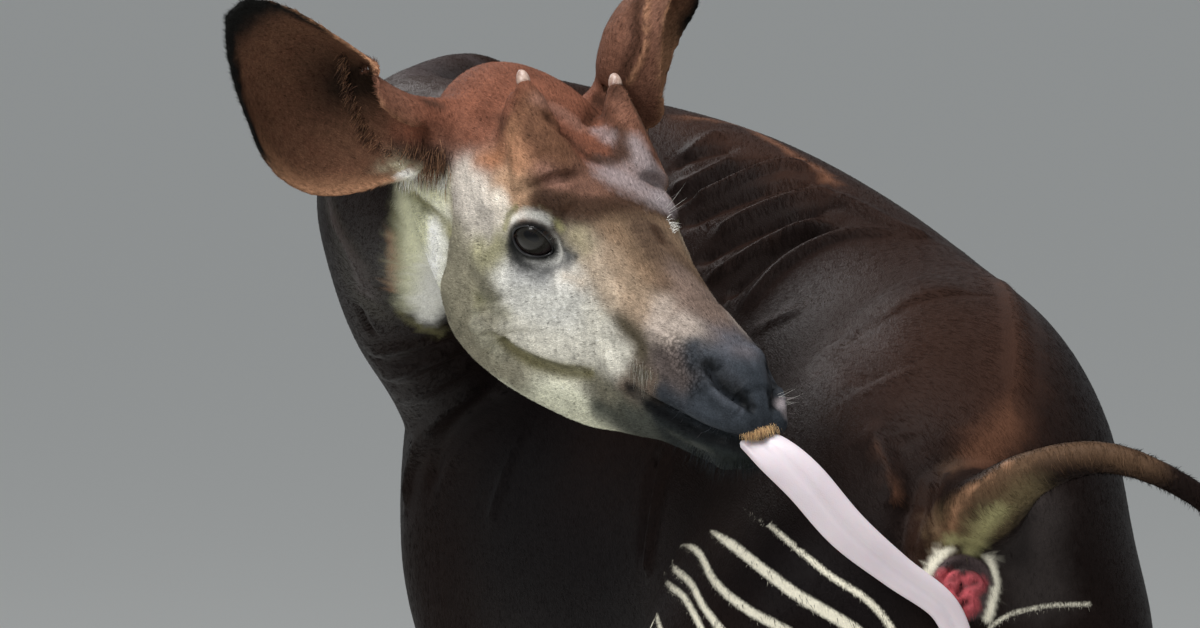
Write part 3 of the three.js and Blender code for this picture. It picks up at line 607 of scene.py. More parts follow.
# Forms of the head that its right side shows, and its left side repeats. Columns: pixels, reach, height
HEAD_FORMS = {
    "brow": ([(520, 196), (548, 203), (566, 216)], 17, 6.0),
    "temple": ([(478, 215), (484, 250)], 22, -5.0),
    "cheekbone": ([(585, 290), (545, 291), (505, 280), (476, 262)], 14, 4.5),
    "below the eye": ([(556, 275), (590, 262)], 15, -3.0),
    "jaw muscle": ([(492, 300), (500, 330)], 40, 7.0),
    "jaw corner": ([(452, 262), (455, 298), (463, 326), (480, 346), (506, 366), (536, 385),
                    (570, 402), (612, 415)],
                   26, 11.0),
    "jaw angle": ([(456, 322), (464, 340), (480, 354)], 21, 9.0),
    "neck behind the jaw": ([(441, 300), (443, 260), (447, 215), (446, 186)], 9, -7.0),
    "cheek fold": ([(494, 320), (503, 337), (520, 352), (545, 364), (568, 371), (592, 371)], 5.5, -6.5),
    "above the cheek fold": ([(525, 335), (560, 352), (595, 355)], 13, 3.5),
    "below the cheek fold": ([(515, 368), (550, 385), (590, 390)], 13, 3.5),
    "side hollow": ([(600, 318), (618, 330), (640, 350)], 7, -4.5),
    "above the side hollow": ([(615, 305), (645, 325), (668, 340)], 10, 3.0),
    "behind the mouth": ([(606, 352), (618, 372), (622, 392)], 9, 4.0),
    "bridge hollow": ([(600, 262), (640, 292), (675, 318)], 18, -4.0),
    "nose fold 1": ([(655, 312), (672, 318), (690, 331)], 3.5, -2.2),
    "nose fold 2": ([(648, 322), (666, 330), (682, 343)], 3.2, -2.0),
    "nose fold 3": ([(650, 335), (664, 341), (676, 352)], 3.0, -1.8),
    "nostril wing": ([(712, 350), (732, 356), (750, 374), (758, 392)], 11, 3.5),
    "nostril hollow": ([(716, 366), (728, 378), (740, 389)], 6.5, -3.5),
    "nostril lower rim": ([(710, 388), (724, 401), (740, 412)], 7, 3.0),
    "upper lip": ([(641, 384), (668, 394), (698, 412), (728, 426), (758, 422)], 9.5, 4.0),
    "lower lip": ([(650, 412), (680, 434), (714, 448), (738, 454)], 7, 3.0),
    "chin": ([(716, 462), (736, 464)], 15, 4.0),
    "crown": ([(440, 92), (470, 82), (500, 84)], 26, 1.0),
    "horn root": ([(512, 110), (514, 150), (524, 196)], 12, 3.5),
    "brow hollow": ([(540, 150), (560, 185)], 14, -3.0),
}
# Forms that only the seen side of each place has
SEEN_FORMS = {
    "far horn knob": ([(598, 134), (606, 138)], 10, 7.0),
    "far horn crease": ([(596, 112), (590, 122), (584, 124)], 5, -6.0),
    "valley crease": ([(545, 112), (562, 132), (582, 152), (597, 161)], 6, -4.5),
    "valley flap": ([(540, 98), (560, 110), (582, 126)], 9, 3.5),
    "far ear rim": ([(646, 2), (644, 22), (646, 42), (642, 57), (635, 75), (625, 92)], 4, 3.0),
    "far ear hollow": ([(637, 2), (635, 22), (637, 42), (633, 57), (625, 74)], 6, -2.4),
    "fold behind the ear": ([(398, 186), (416, 202), (438, 218), (450, 232)], 7, -5.0),
    "fold below the ear": ([(404, 172), (424, 184), (444, 196)], 11, 5.0),
}
# Creases that are cut last, into a finer skin
HEAD_CREASES = {
    "nostril": ([(706, 361), (711, 375), (723, 387), (737, 397), (749, 407)], 4.2, -10.0),
    "mouth": ([(629, 379), (634, 392), (650, 401), (680, 417), (706, 431), (736, 440),
               (752, 442)], 4.4, -10.0),
    "mouth corner": ([(629, 376), (633, 386)], 4.5, -4.0),
    "lip groove": ([(768, 388), (772, 402), (773, 414)], 3.0, -3.0),
    "lid crease": ([(507, 228), (509, 217), (519, 208), (534, 207), (549, 215), (560, 229)], 3.0, -2.6),
    "under lid": ([(512, 256), (526, 267), (545, 268), (560, 258)], 3.2, -1.6),
    "tear line": ([(562, 250), (572, 256), (584, 268)], 2.6, -1.4),
}
# Fine upright wrinkles above the corner of the mouth: first top and bottom, last top and bottom, number
LIP_WRINKLES = ((634, 366), (633, 382), (668, 380), (660, 398), 9)

# Folds and muscles of the trunk and neck, seen from the camera's side only
BODY_FORMS = {
    "crest": ([(405, 82), (440, 68), (480, 62), (530, 62), (570, 72)], 26, 11.0),
    "fold 1": ([(672, 190), (694, 181), (718, 168), (738, 159)], 9, 7.0),
    "fold 2": ([(691, 202), (720, 189), (747, 176), (769, 168), (790, 164), (814, 173)], 9, 9.0),
    "fold 3": ([(716, 234), (742, 219), (766, 208), (790, 200), (811, 194), (840, 197)], 10, 9.0),
    "fold 4": ([(707, 283), (731, 267), (755, 251), (779, 239), (801, 228), (828, 224)], 9, 9.0),
    "fold 5": ([(739, 318), (755, 294), (779, 267), (806, 249), (833, 237), (860, 232),
                (897, 236)], 10, 7.0),
    "fold 6": ([(752, 334), (774, 320), (806, 307)], 6, 3.0),
    "back highlight": ([(827, 197), (854, 205), (881, 219), (908, 232), (930, 240)], 11, 7.0),
    "fold 0": ([(688, 158), (702, 142), (722, 133)], 12, 6.0),
    "groove 1": ([(668, 205), (690, 194), (722, 177), (745, 168), (766, 160)], 8, -7.0),
    "groove 2": ([(680, 226), (720, 206), (760, 191), (790, 182), (816, 183)], 9, -9.0),
    "groove 3": ([(694, 264), (734, 241), (769, 226), (801, 213), (830, 209)], 9, -9.0),
    "groove 4": ([(724, 300), (750, 274), (776, 252), (802, 238), (834, 231)], 8, -9.0),
    "groove 0": ([(672, 170), (690, 158), (712, 152), (735, 148)], 8, -5.0),
    "rump line": ([(996, 268), (1010, 300), (1017, 345), (1014, 395)], 12, 4.0),
    "thigh muscle": ([(868, 425), (886, 462), (898, 505)], 12, 4.5),
    "thigh hollow": ([(900, 430), (908, 475), (912, 520)], 14, -4.0),
    "hip": ([(905, 285), (935, 300)], 40, 7.0),
    "behind the hip": ([(850, 330), (880, 380)], 34, -5.0),
    "flank fold": ([(668, 452), (663, 476), (658, 503), (654, 530), (648, 580)], 7, 8.0),
    "flank groove": ([(656, 452), (650, 480), (645, 510), (640, 560)], 8, -7.0),
    "rib shade 1": ([(526, 425), (511, 457), (500, 489), (489, 523)], 9, 3.5),
    "shoulder rim": ([(486, 378), (443, 409), (421, 437), (412, 466), (406, 509)], 10, 8.0),
    "shoulder groove": ([(500, 392), (458, 424), (437, 452), (428, 490)], 12, -7.0),
    "neck fold 1": ([(357, 305), (364, 322), (372, 334)], 7, -4.0),
    "neck fold 2": ([(370, 352), (392, 350), (420, 344), (445, 336)], 8, 4.5),
    "neck fold 3": ([(376, 378), (402, 374), (432, 360), (460, 350)], 8, 4.5),
    "neck fold 4": ([(390, 402), (420, 392), (452, 374), (474, 362)], 8, 4.5),
    "neck groove 2": ([(368, 364), (396, 362), (426, 352), (452, 342)], 6, -4.0),
    "neck groove 3": ([(382, 390), (410, 384), (442, 368), (466, 356)], 6, -4.0),
    "neck light": ([(331, 209), (343, 237), (360, 266), (366, 290)], 11, 4.0),
    "tail root edge": ([(933, 476), (926, 505), (922, 530), (914, 556)], 8, 7.0),
    "tail root fold": ([(946, 490), (940, 520), (934, 548)], 12, 6.0),
    "tail root groove": ([(908, 500), (904, 530), (900, 560)], 10, -6.0),
    "right buttock edge": ([(1028, 506), (1014, 534), (1004, 556)], 7, 5.0),
}
# Folds of the bare skin below the tail, drawn last into a finer skin. Columns: pixels, reach, height
VENT_FORMS = [
    ([(936, 578), (948, 562), (966, 557), (984, 565), (992, 584)], 3.2, 3.0),
    ([(942, 582), (952, 568), (966, 564), (980, 571), (987, 586)], 2.2, -3.0),
    ([(946, 588), (955, 573), (968, 570), (978, 576)], 2.4, 2.5),
    ([(943, 576), (953, 575), (958, 583), (950, 588)], 4.0, 4.0),
    ([(966, 580), (976, 577), (983, 582), (978, 590), (968, 592)], 3.8, 4.5),
    ([(962, 596), (972, 598), (974, 607), (966, 612)], 4.0, 4.0),
    ([(948, 594), (957, 598), (958, 606)], 3.6, 3.5),
    ([(961, 584), (962, 592), (956, 596)], 2.4, -4.0),
    ([(966, 600), (960, 608)], 2.2, -2.5),
]
ANUS = (964, 587)
ANUS_RADIUS = 31

# Screen colours of the coat and skin, among them colours of painted sheen, highlights and shade
COLOURS = {
    "body": (25, 18, 16),
    # Near-black coat of the legs and lower side, also laid as painted shade below the head and tongue
    "body black": (17, 15, 16),
    # Lighter brown of the back, also laid as painted light on skin that faces up
    "back": (50, 33, 26),
    # Orange-brown of the dorsal hair, also laid as painted highlights on a fold and a thigh ridge
    "spine": (104, 70, 52),
    "crown": (106, 67, 52),
    "crown dark": (60, 42, 34),
    "horn flank": (92, 64, 48),
    "flank pink": (124, 92, 80),
    "ridge tan": (150, 110, 84),
    "brow": (50, 35, 26),
    "brow top": (100, 72, 60),
    # Dark brown, laid as painted shade in the creases of the far horn and valley and beside the far ear's
    # rim, and on the tail's root
    "deep brown": (46, 30, 22),
    # Painted sheen: grey-lilac light on the dark hair of the brow
    "lilac sheen": (146, 136, 137),
    "cheek": (206, 204, 197),
    "cheek front": (192, 188, 176),
    "behind eye": (188, 180, 170),
    "bridge tan": (152, 136, 118),
    "bridge": (106, 86, 68),
    "bridge edge": (102, 86, 77),
    "bridge mid": (136, 117, 98),
    # Painted shade on the far side of the bridge of the nose
    "bridge shade": (78, 62, 50),
    "bridge light": (152, 140, 130),
    "side shade": (84, 76, 62),
    "side tan": (140, 130, 106),
    "crown red": (142, 98, 72),
    "temple tan": (160, 128, 102),
    "temple light": (214, 204, 190),
    "cheek olive": (140, 136, 108),
    "mouth side": (100, 96, 82),
    # Painted sheen: grey light on the dark coat of the right buttock
    "buttock": (92, 86, 84),
    "nose": (80, 76, 79),
    "slate": (46, 50, 55),
    "slate light": (76, 79, 86),
    # Black of the lids and lips, also laid as painted shade in the nostrils, the mouth and the grooves
    # below the tail
    "black": (19, 20, 21),
    "chin": (34, 38, 37),
    "jaw": (124, 119, 102),
    "jaw dark": (64, 66, 60),
    "jaw light": (196, 195, 174),
    # Olive of the throat's hair, also laid as painted shade in the creases of cheek and lid and in the fold
    # behind the ear
    "olive": (122, 118, 84),
    "pebble": (84, 75, 72),
    # Painted shade in the cheek fold
    "painted fold shade": (84, 78, 54),
    "lip side": (100, 87, 76),
    "white": (236, 235, 228),
    "green white": (212, 211, 178),
    "cream": (222, 216, 196),
    "orange": (226, 190, 140),
    "tan": (160, 120, 92),
    # Painted sheen: grey light on the dark coat of the neck
    "neck": (52, 48, 42),
    "ear inside": (98, 70, 54),
    # Painted shade in the deep hollow of the ears' cups, also given to some hairs of the ear rim
    "ear deep": (34, 25, 19),
    "ear edge": (24, 24, 23),
    # Painted highlight on the lit rims of the ears
    "ear rim": (190, 142, 108),
    "ear back": (108, 78, 64),
    "raw": (172, 78, 84),
    # Grey-brown of the folded skin below the tail, also laid on the crest and above the hooves, and as a
    # painted highlight down the neck
    "fold": (66, 56, 56),
    "tail under": (92, 80, 58),
    "tail top": (84, 64, 48),
    "vent yellow": (148, 144, 102),
    "vent brown": (96, 72, 54),
}

# Soft washes of the head, on both sides, blended into one another. Columns: colour, reach, strength, pixels
HEAD_WASHES = [
    ("crown", 30, 1.0, [(440, 105), (480, 98), (505, 105)]),
    ("crown", 14, 1.0, [(462, 138), (480, 140)]),
    ("crown red", 9, 1.0, [(478, 160), (496, 160)]),
    ("crown dark", 9, 0.8, [(426, 150), (436, 162)]),
    ("crown dark", 8, 0.5, [(498, 116), (504, 128)]),
    ("ridge tan", 8, 0.9, [(514, 130), (516, 150), (520, 166)]),
    ("temple tan", 9, 1.0, [(500, 180), (518, 182), (522, 198)]),
    ("horn flank", 15, 1.0, [(532, 112), (545, 145), (556, 156)]),
    ("flank pink", 9, 0.7, [(548, 170), (556, 180)]),
    ("brow", 12, 1.0, [(546, 200), (562, 206), (582, 218), (602, 206)]),
    ("brow top", 10, 1.0, [(576, 180), (592, 188)]),
    ("crown", 16, 0.9, [(560, 120), (580, 140)]),
    ("behind eye", 17, 1.0, [(466, 176), (476, 200), (480, 218)]),
    ("temple light", 8, 1.0, [(497, 196), (503, 212)]),
    ("cheek olive", 10, 1.0, [(478, 246), (486, 262), (496, 246)]),
    ("cheek", 20, 1.0, [(522, 294), (545, 300), (572, 304), (568, 288)]),
    ("side tan", 8, 1.0, [(578, 236), (585, 250)]),
    ("bridge tan", 8, 0.7, [(566, 277), (582, 283)]),
    ("cheek front", 14, 1.0, [(592, 318), (600, 340), (614, 358)]),
    ("bridge tan", 12, 1.0, [(588, 262), (600, 278), (608, 296)]),
    ("bridge mid", 12, 1.0, [(614, 256), (628, 288), (644, 308)]),
    ("bridge", 12, 1.0, [(612, 228), (630, 250), (650, 272)]),
    # Painted shade along the far side of the bridge
    ("bridge shade", 9, 1.0, [(640, 230), (654, 258), (664, 282)]),
    ("bridge edge", 12, 1.0, [(676, 272), (700, 304), (716, 324)]),
    ("bridge light", 10, 1.0, [(656, 306), (660, 338), (676, 324), (696, 328)]),
    ("side shade", 8, 1.0, [(622, 326), (638, 336), (642, 350)]),
    ("nose", 12, 1.0, [(716, 328), (734, 338), (748, 350)]),
    ("jaw", 15, 1.0, [(456, 246), (460, 285), (468, 312)]),
    ("jaw", 12, 1.0, [(484, 286), (494, 300), (502, 318)]),
    ("jaw", 15, 1.0, [(476, 332), (500, 350), (522, 370)]),
    ("olive", 8, 0.7, [(484, 298), (500, 305), (510, 312)]),
    ("jaw light", 7, 0.8, [(456, 334), (466, 350), (482, 366)]),
    ("cheek front", 15, 1.0, [(520, 330), (550, 344), (590, 352)]),
    # Painted shade along the cheek fold
    ("olive", 5, 0.9, [(495, 330), (510, 346), (530, 359), (560, 368), (592, 373)]),
    ("jaw light", 11, 1.0, [(520, 384), (545, 390), (582, 402)]),
    ("jaw dark", 9, 0.9, [(606, 410), (618, 416)]),
    ("mouth side", 11, 1.0, [(598, 378), (608, 390), (618, 396)]),
    ("jaw dark", 10, 1.0, [(622, 404), (632, 418), (650, 430)]),
    ("chin", 15, 1.0, [(676, 442), (700, 454), (730, 462)]),
    ("lip side", 8, 0.9, [(626, 386), (640, 372), (652, 382)]),
    ("pebble", 12, 1.0, [(660, 354), (672, 366), (684, 378)]),
    ("slate", 9, 0.8, [(694, 344), (692, 366)]),
    ("slate", 15, 1.0, [(714, 362), (740, 370), (762, 380), (770, 402), (745, 415), (720, 405),
                        (698, 395)]),
    ("slate light", 6, 1.0, [(728, 338), (750, 348), (766, 364), (772, 382)]),
    ("slate", 10, 1.0, [(668, 396), (690, 410), (712, 421)]),
]
# Sharper paint on both sides of the head. Columns: colour, reach, strength, pixels
HEAD_PAINT = [
    ("white", 6, 0.6, [(513, 219), (523, 213), (537, 214), (549, 221)]),
    # Painted shade along the crease above the upper lid
    ("olive", 4, 0.8, [(505, 228), (508, 215), (518, 206), (534, 205), (550, 212), (562, 230)]),
    ("slate light", 15, 0.55, [(524, 272), (544, 276)]),
    ("black", 9, 0.6, [(509, 246), (515, 258), (526, 266), (540, 269), (554, 263)]),
    ("slate", 6, 0.85, [(556, 246), (566, 252), (573, 258)]),
    ("side shade", 7, 0.5, [(562, 238), (570, 244)]),
    ("slate light", 8, 0.5, [(556, 262), (566, 264)]),
    ("black", 6.5, 0.95, [(511, 246), (516, 235), (530, 229), (546, 233), (559, 250), (546, 264),
                          (526, 264),
                         (515, 257), (511, 246)]),
    # Dark lip skin, with painted shade where the upper lip overhangs the mouth
    ("black", 8, 1.0, [(631, 388), (646, 402), (674, 420), (702, 435), (730, 443), (748, 446)]),
    ("jaw dark", 4, 0.7, [(672, 431), (692, 441), (714, 449)]),
    # Painted shade in the cheek fold
    ("painted fold shade", 5.5, 0.75, [(497, 332), (510, 347), (530, 360), (560, 370), (590, 373)]),
    ("jaw dark", 10, 0.45, [(487, 297), (500, 307)]),
    # Painted shade in the nostril's slit and hollow
    ("black", 6, 1.0, [(706, 362), (711, 374), (723, 386), (737, 397), (751, 407)]),
    ("black", 8, 0.9, [(719, 381), (732, 391), (745, 400)]),
    ("black", 8, 0.7, [(716, 366), (728, 378), (740, 390)]),
    ("slate light", 4, 0.5, [(714, 393), (728, 404), (740, 410)]),
]
# Line along which the bare skin beside the nostril is pebbled
PEBBLE_PATH = [(672, 348), (685, 362), (694, 380)]
# Paint on what the camera sees only, over head and neck alike
SEEN_PAINT = [
    ("green white", 22, 1.0, [(408, 210), (414, 240), (416, 280), (424, 305)]),
    ("olive", 9, 0.5, [(396, 215), (398, 245), (396, 270)]),
    ("white", 20, 1.0, [(436, 225), (434, 265), (434, 306)]),
    ("white", 12, 0.9, [(420, 298), (430, 318)]),
    ("olive", 5, 0.6, [(400, 312), (420, 328), (446, 334)]),
    ("tan", 5, 0.5, [(392, 232), (394, 262), (392, 290)]),
    # Olive hair, with painted shade in the fold behind the ear
    ("olive", 7, 0.85, [(412, 192), (430, 206), (446, 220), (450, 234)]),
    ("crown dark", 12, 0.8, [(402, 150), (420, 158), (442, 158)]),
    ("white", 6, 0.9, [(402, 174), (420, 178), (440, 182)]),
    ("crown dark", 7, 0.8, [(428, 102), (438, 105)]),
    # Painted sheen, grey-lilac, over the far brow and the foot of the far horn
    ("lilac sheen", 22, 0.7, [(616, 176), (634, 184), (652, 196)]),
    ("lilac sheen", 14, 0.7, [(636, 146), (648, 164), (660, 182), (666, 204)]),
    ("brow", 9, 0.8, [(596, 160), (610, 162), (622, 156)]),
    ("crown dark", 8, 0.7, [(604, 104), (608, 122)]),
    ("crown dark", 9, 0.9, [(618, 132), (622, 150)]),
    ("brow", 6, 0.8, [(655, 228), (662, 242)]),
    # Painted shade in the crease of the far horn
    ("deep brown", 7, 0.8, [(596, 98), (594, 114), (586, 124)]),
    # Painted sheen on the knob of the far horn
    ("lilac sheen", 8, 0.5, [(598, 132), (608, 138)]),
    ("flank pink", 9, 0.6, [(540, 100), (560, 112), (580, 126)]),
    # Painted shade along the valley crease beside the near horn
    ("deep brown", 4, 0.6, [(546, 116), (562, 134), (582, 152), (598, 162)]),
    # Painted shadow beside the far ear's rim, and a painted highlight on the lit rim
    ("deep brown", 9, 0.75, [(638, 0), (636, 22), (638, 42), (633, 57), (625, 76), (616, 92)]),
    ("ear rim", 1.8, 0.4, [(646, 0), (645, 22), (646, 42), (642, 57), (634, 77), (622, 96)]),
    # Painted sheen on the far lip
    ("lilac sheen", 7, 0.6, [(780, 402), (786, 412)]),
    ("tail under", 22, 1.0, [(955, 530), (980, 530), (1000, 512), (1024, 492)]),
    ("vent brown", 12, 0.9, [(948, 530), (954, 508), (968, 494)]),
    ("tail top", 14, 0.9, [(984, 488), (1010, 466), (1040, 452), (1090, 446), (1150, 462)]),
    ("vent yellow", 9, 0.8, [(972, 548), (982, 530), (996, 512)]),
    ("vent yellow", 6, 0.8, [(948, 540), (962, 538), (980, 544)]),
    # Pale hair with a painted highlight along the ridge of the tail's root
    ("tan", 2.4, 0.6, [(950, 528), (956, 508), (968, 492), (988, 476), (1008, 462)]),
]

# Paint on the trunk and neck, where the camera sees it
BODY_PAINT = {
    # Painted sheen along the neck
    "neck sheen": ("neck", 26, 0.8, [(332, 215), (348, 250), (360, 286), (372, 310)]),
    "crest": ("fold", 18, 0.5, [(412, 78), (450, 60), (490, 58), (530, 62)]),
    "crest brown": ("crown", 12, 0.6, [(480, 52), (520, 52), (560, 62)]),
    # Painted highlight along the lit ridge of the neck
    "neck light": ("fold", 13, 0.6, [(331, 209), (343, 237), (360, 266), (366, 294)]),
    "withers": ("back", 30, 0.6, [(690, 120), (730, 135), (780, 160), (820, 190)]),
    "spine": ("spine", 6, 0.9, [(678, 100), (704, 113), (728, 122), (752, 130), (779, 145),
                                (806, 161), (830, 180)]),
    "rump spine": ("spine", 6, 0.85, [(990, 262), (1000, 280), (1010, 302), (1016, 335), (1016, 380),
                                      (1008, 415)]),
    "rump spine soft": ("back", 28, 0.8, [(990, 262), (1006, 302), (1014, 345), (1010, 400), (990, 440)]),
    "rump": ("back", 90, 0.5, [(940, 330), (960, 380)]),
    # Painted highlights: orange light along the thigh's muscle ridge and along the top of fold 4
    "thigh streak": ("spine", 3.5, 0.45, [(873, 438), (886, 466), (897, 495), (902, 514)]),
    "fold 4": ("spine", 5, 0.5, [(731, 267), (755, 251), (779, 239)]),
    "side": ("body black", 130, 0.8, [(520, 470), (520, 560), (600, 600)]),
    # Painted shade below the head and tongue
    "below the tongue": ("body black", 60, 0.7, [(780, 560), (860, 600)]),
    "tail root left": ("deep brown", 16, 0.7, [(930, 500), (924, 540), (918, 570)]),
    "tail root": ("vent brown", 17, 0.9, [(950, 475), (946, 505), (942, 535)]),
    "tail root red": ("spine", 19, 0.5, [(1007, 424), (996, 440), (984, 452), (968, 470)]),
    # Painted sheen on the right buttock
    "right buttock": ("buttock", 36, 0.25, [(1034, 520), (1030, 560), (1040, 590)]),
}
ANUS_RING = [(924, 580), (932, 562), (945, 550), (964, 545), (984, 552), (994, 568), (996, 590),
             (988, 618)]

# White stripes of the haunch, as seen. Columns: half width at the start, half width at the end, pixels
HAUNCH_STRIPES = [
    (1.6, 3.0, [(742, 506), (766, 522), (801, 552), (833, 578), (862, 595), (881, 613), (894, 632),
                (904, 660)]),
    (3.6, 5.4, [(710, 530), (734, 546), (761, 568), (795, 594), (828, 613), (856, 630), (880, 655)]),
    (2.6, 4.2, [(680, 546), (691, 545), (702, 554), (710, 576), (726, 594), (752, 613), (786, 630),
                (820, 656)]),
    (2.4, 3.6, [(672, 560), (675, 570), (691, 581), (702, 605), (718, 626), (742, 656)]),
    (2.4, 3.4, [(664, 573), (669, 586), (683, 594), (694, 613), (702, 630), (716, 660)]),
    (2.2, 3.0, [(656, 614), (661, 630), (672, 658)]),
    (2.0, 2.6, [(655, 618), (648, 632), (644, 655)]),
]
RIGHT_HAUNCH_STRIPE = (1.3, [(990, 628), (1000, 619), (1015, 612), (1050, 605), (1090, 604)])


# Search trees of trunk and head, kept by the first step for those that follow
BODY_TREE = []
HEAD_TREE = []


class Surface:
    """Skin being shaped and painted: its points, normals and neighbours."""

    def __init__(self, mesh):
        self.mesh = mesh
        self.co = places_of(mesh)
        self.pairs = edges_of(mesh)
        self.refresh()

    def refresh(self):
        """Reads normals and the head's folded places again."""
        put_places(self.mesh, self.co)
        self.normal = normals_of(self.mesh)
        self.head = folded(self.co)

    def near(self, path, reach, on_both):
        """Points within reach of a path, their gaps and shares along it, in millimetres."""
        if on_both:
            return path_distance(self.head, folded(path), reach)
        near, gap, share = path_distance(self.co, path, reach * MM)
        return near, gap / MM, share

    def raise_along(self, path, reach, height, on_both, only=None, ends=0.12):
        """Raises the skin along a path, or presses it in where height is negative."""
        near, gap, share = self.near(path, reach * 2.6, on_both)
        taper = eased(0, ends, share) * eased(0, ends, 1 - share) if len(path) > 1 else 1.0
        push = height * MM * np.exp(-((gap / reach) ** 2)) * (0.25 + 0.75 * taper)
        if only is not None:
            push = push * only[near]
        self.co[near] += self.normal[near] * push[:, None]

    def relax(self, weight, rounds):
        """Averages the points that carry a weight."""
        weight = np.broadcast_to(weight, len(self.co))
        self.co = relaxed(self.co, self.pairs, weight, rounds)


def belongs(points, wanted, others):
    """Whether each point lies nearer to the wanted nodes than to the others."""
    trees = []
    for names in (wanted, others):
        corners, faces = [], []
        for name in names:
            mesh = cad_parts[name].data
            start = len(corners)
            corners += [v.co.copy() for v in mesh.vertices]
            faces += [[start + i for i in p.vertices] for p in mesh.polygons]
        trees.append(BVHTree.FromPolygons(corners, faces))
    gaps = [[tree.find_nearest(Vector(p))[3] or 0 for p in points] for tree in trees]
    return np.array(gaps[0]) < np.array(gaps[1])


HEAD_NODES = ["head", "ear_left", "ear_right", "horn_left", "horn_right", "eye_left", "eye_right"]


def is_head(points):
    """Whether each point belongs to the head rather than to the neck or trunk."""
    close = np.flatnonzero(np.linalg.norm(in_head(points) - (20, 0, -20), axis=1) < 470)
    found = np.zeros(len(points), bool)
    left_out = HEAD_NODES + ["tongue", "horn_tip_left", "horn_tip_right"]
    others = [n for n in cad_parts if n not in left_out]
    found[close] = belongs(points[close], HEAD_NODES, others)
    return found


def tree_of(mesh, co, keep):
    """Search tree of the faces whose corners are all kept."""
    faces = [tuple(p.vertices) for p in mesh.polygons]
    faces = [f for f in faces if all(keep[i] for i in f)]
    return BVHTree.FromPolygons(co.tolist(), faces)


EYE_FACING = (0.6, 0.79, 0.06)
LID_HALF_LENGTH = (20.8, 18.6)
LID_HALF_HEIGHT = (14.5, 13.0)
LID_RADIUS = 24.3
LID_DROP = 6.0


def eye_centre(side):
    """Centre of an eye in the head's frame, in millimetres."""
    return EYE_PLACE / MM * (1, side, 1)


def eye_axes(side):
    """Centre and axes of an eye in the head's frame: forward along the lids, up, and outwards."""
    centre = eye_centre(side)
    out = unit(sided(EYE_FACING, side))
    ahead = np.array((1.0, 0.0, -0.12))
    ahead = unit(ahead - (ahead @ out) * out)
    up = np.cross(out, ahead) * side
    if up[2] < 0:
        up = -up
    return centre, ahead, up, out


def lid_measure(u, v):
    """How far out a place on the lids lies: 1 on the edge of the opening."""
    a = np.where(u > 0, *LID_HALF_LENGTH)
    v = v + LID_DROP
    b = np.where(v > 0, *LID_HALF_HEIGHT)
    return ((np.abs(u) / a) ** 1.8 + (np.abs(v) / b) ** 1.8) ** (1 / 1.8)


def shape_lids(skin, head_mask):
    """Lays the skin over the eyeballs as lids, open in the middle."""
    local = in_head(skin.co)
    for side in (1, -1):
        centre, ahead, up, out = eye_axes(side)
        rel = local - centre
        u, v, h = rel @ ahead, rel @ up, rel @ out
        m = lid_measure(u, v)
        near = np.flatnonzero((m < 3.0) & (h > -5) & (h < 60) & head_mask)
        u, v, h, m = u[near], v[near], h[near], m[near]
        flat = np.hypot(u, v)
        ball = np.sqrt(np.maximum((EYE_RADIUS / MM) ** 2 - flat**2, 30))
        lid = np.sqrt(np.maximum(LID_RADIUS**2 - flat**2, 60))
        outside = 1 - eased(1.0, 2.1, m)
        height = h + (lid - h) * outside
        height = height + 1.6 * np.exp(-(((m - 1.25) / 0.16) ** 2)) * (m > 0.98)
        inner = ball - 4.5
        height = inner + (height - inner) * eased(0.955, 1.01, m)
        shift = np.where((m > 0.93) & (m < 1.0), 1.0 / np.maximum(m, 0.9) - 1, 0)
        moved = rel[near] + (height - h)[:, None] * out
        moved = moved + (u * shift)[:, None] * ahead + ((v + LID_DROP) * shift)[:, None] * up
        local[near] = centre + moved
    skin.co = on_head(local)


def rough_body(sizes):
    """Solids fused on a coarse grid and relaxed, with a mask of what belongs to the head."""
    rough = voxelled([solid_copy(n) for n in FLESH_NODES + LOWER_LEG_NODES], sizes.rough_voxel)
    co, pairs = places_of(rough), edges_of(rough)
    weight = 0.12 + 0.88 * eased(0.70, 0.95, co[:, 2])
    co = relaxed(co, pairs, weight, ROUGH_ROUNDS)
    put_places(rough, co)
    head = is_head(co)
    local = in_head(co)
    inside = head * eased(-175, -120, local[:, 0])
    co = co - normals_of(rough) * (inside * HEAD_PRESS)[:, None]
    return rough, co, head


def root_weight(co):
    """How near points are to the feet of horns and ears, from 0 to 1."""
    local = in_head(co)
    roots = np.zeros(len(co))
    for side in (1, -1):
        foot = sided(HORN_FOOT, side)
        axis = unit(sided(HORN_TIP, side) - foot)
        along = (local - foot) @ axis
        away = np.linalg.norm(local - foot - along[:, None] * axis, axis=1)
        roots = np.maximum(roots, np.exp(-((along / 20) ** 2)) * (away < 55) * (away > 14))
    for ear in EARS.values():
        gap = np.linalg.norm(local - ear["path"][0][1:], axis=1)
        roots = np.maximum(roots, 1 - eased(30, 62, gap))
    return roots


def merging_freedom(co, head, face):
    """How freely faces may be merged at points: hardly on the head, less where the photograph looks."""
    rear = (co[:, 0] < HIPS_AT[0]) & (co[:, 2] < 1.2) & (co[:, 2] > 0.78)
    front = (co[:, 2] > 1.25) & (co[:, 1] > -0.15)
    freedom = np.where(rear, 0.4, np.where(front, 0.6, 0.8))
    return np.where(head, np.where(face, 0.0, 0.1), freedom)


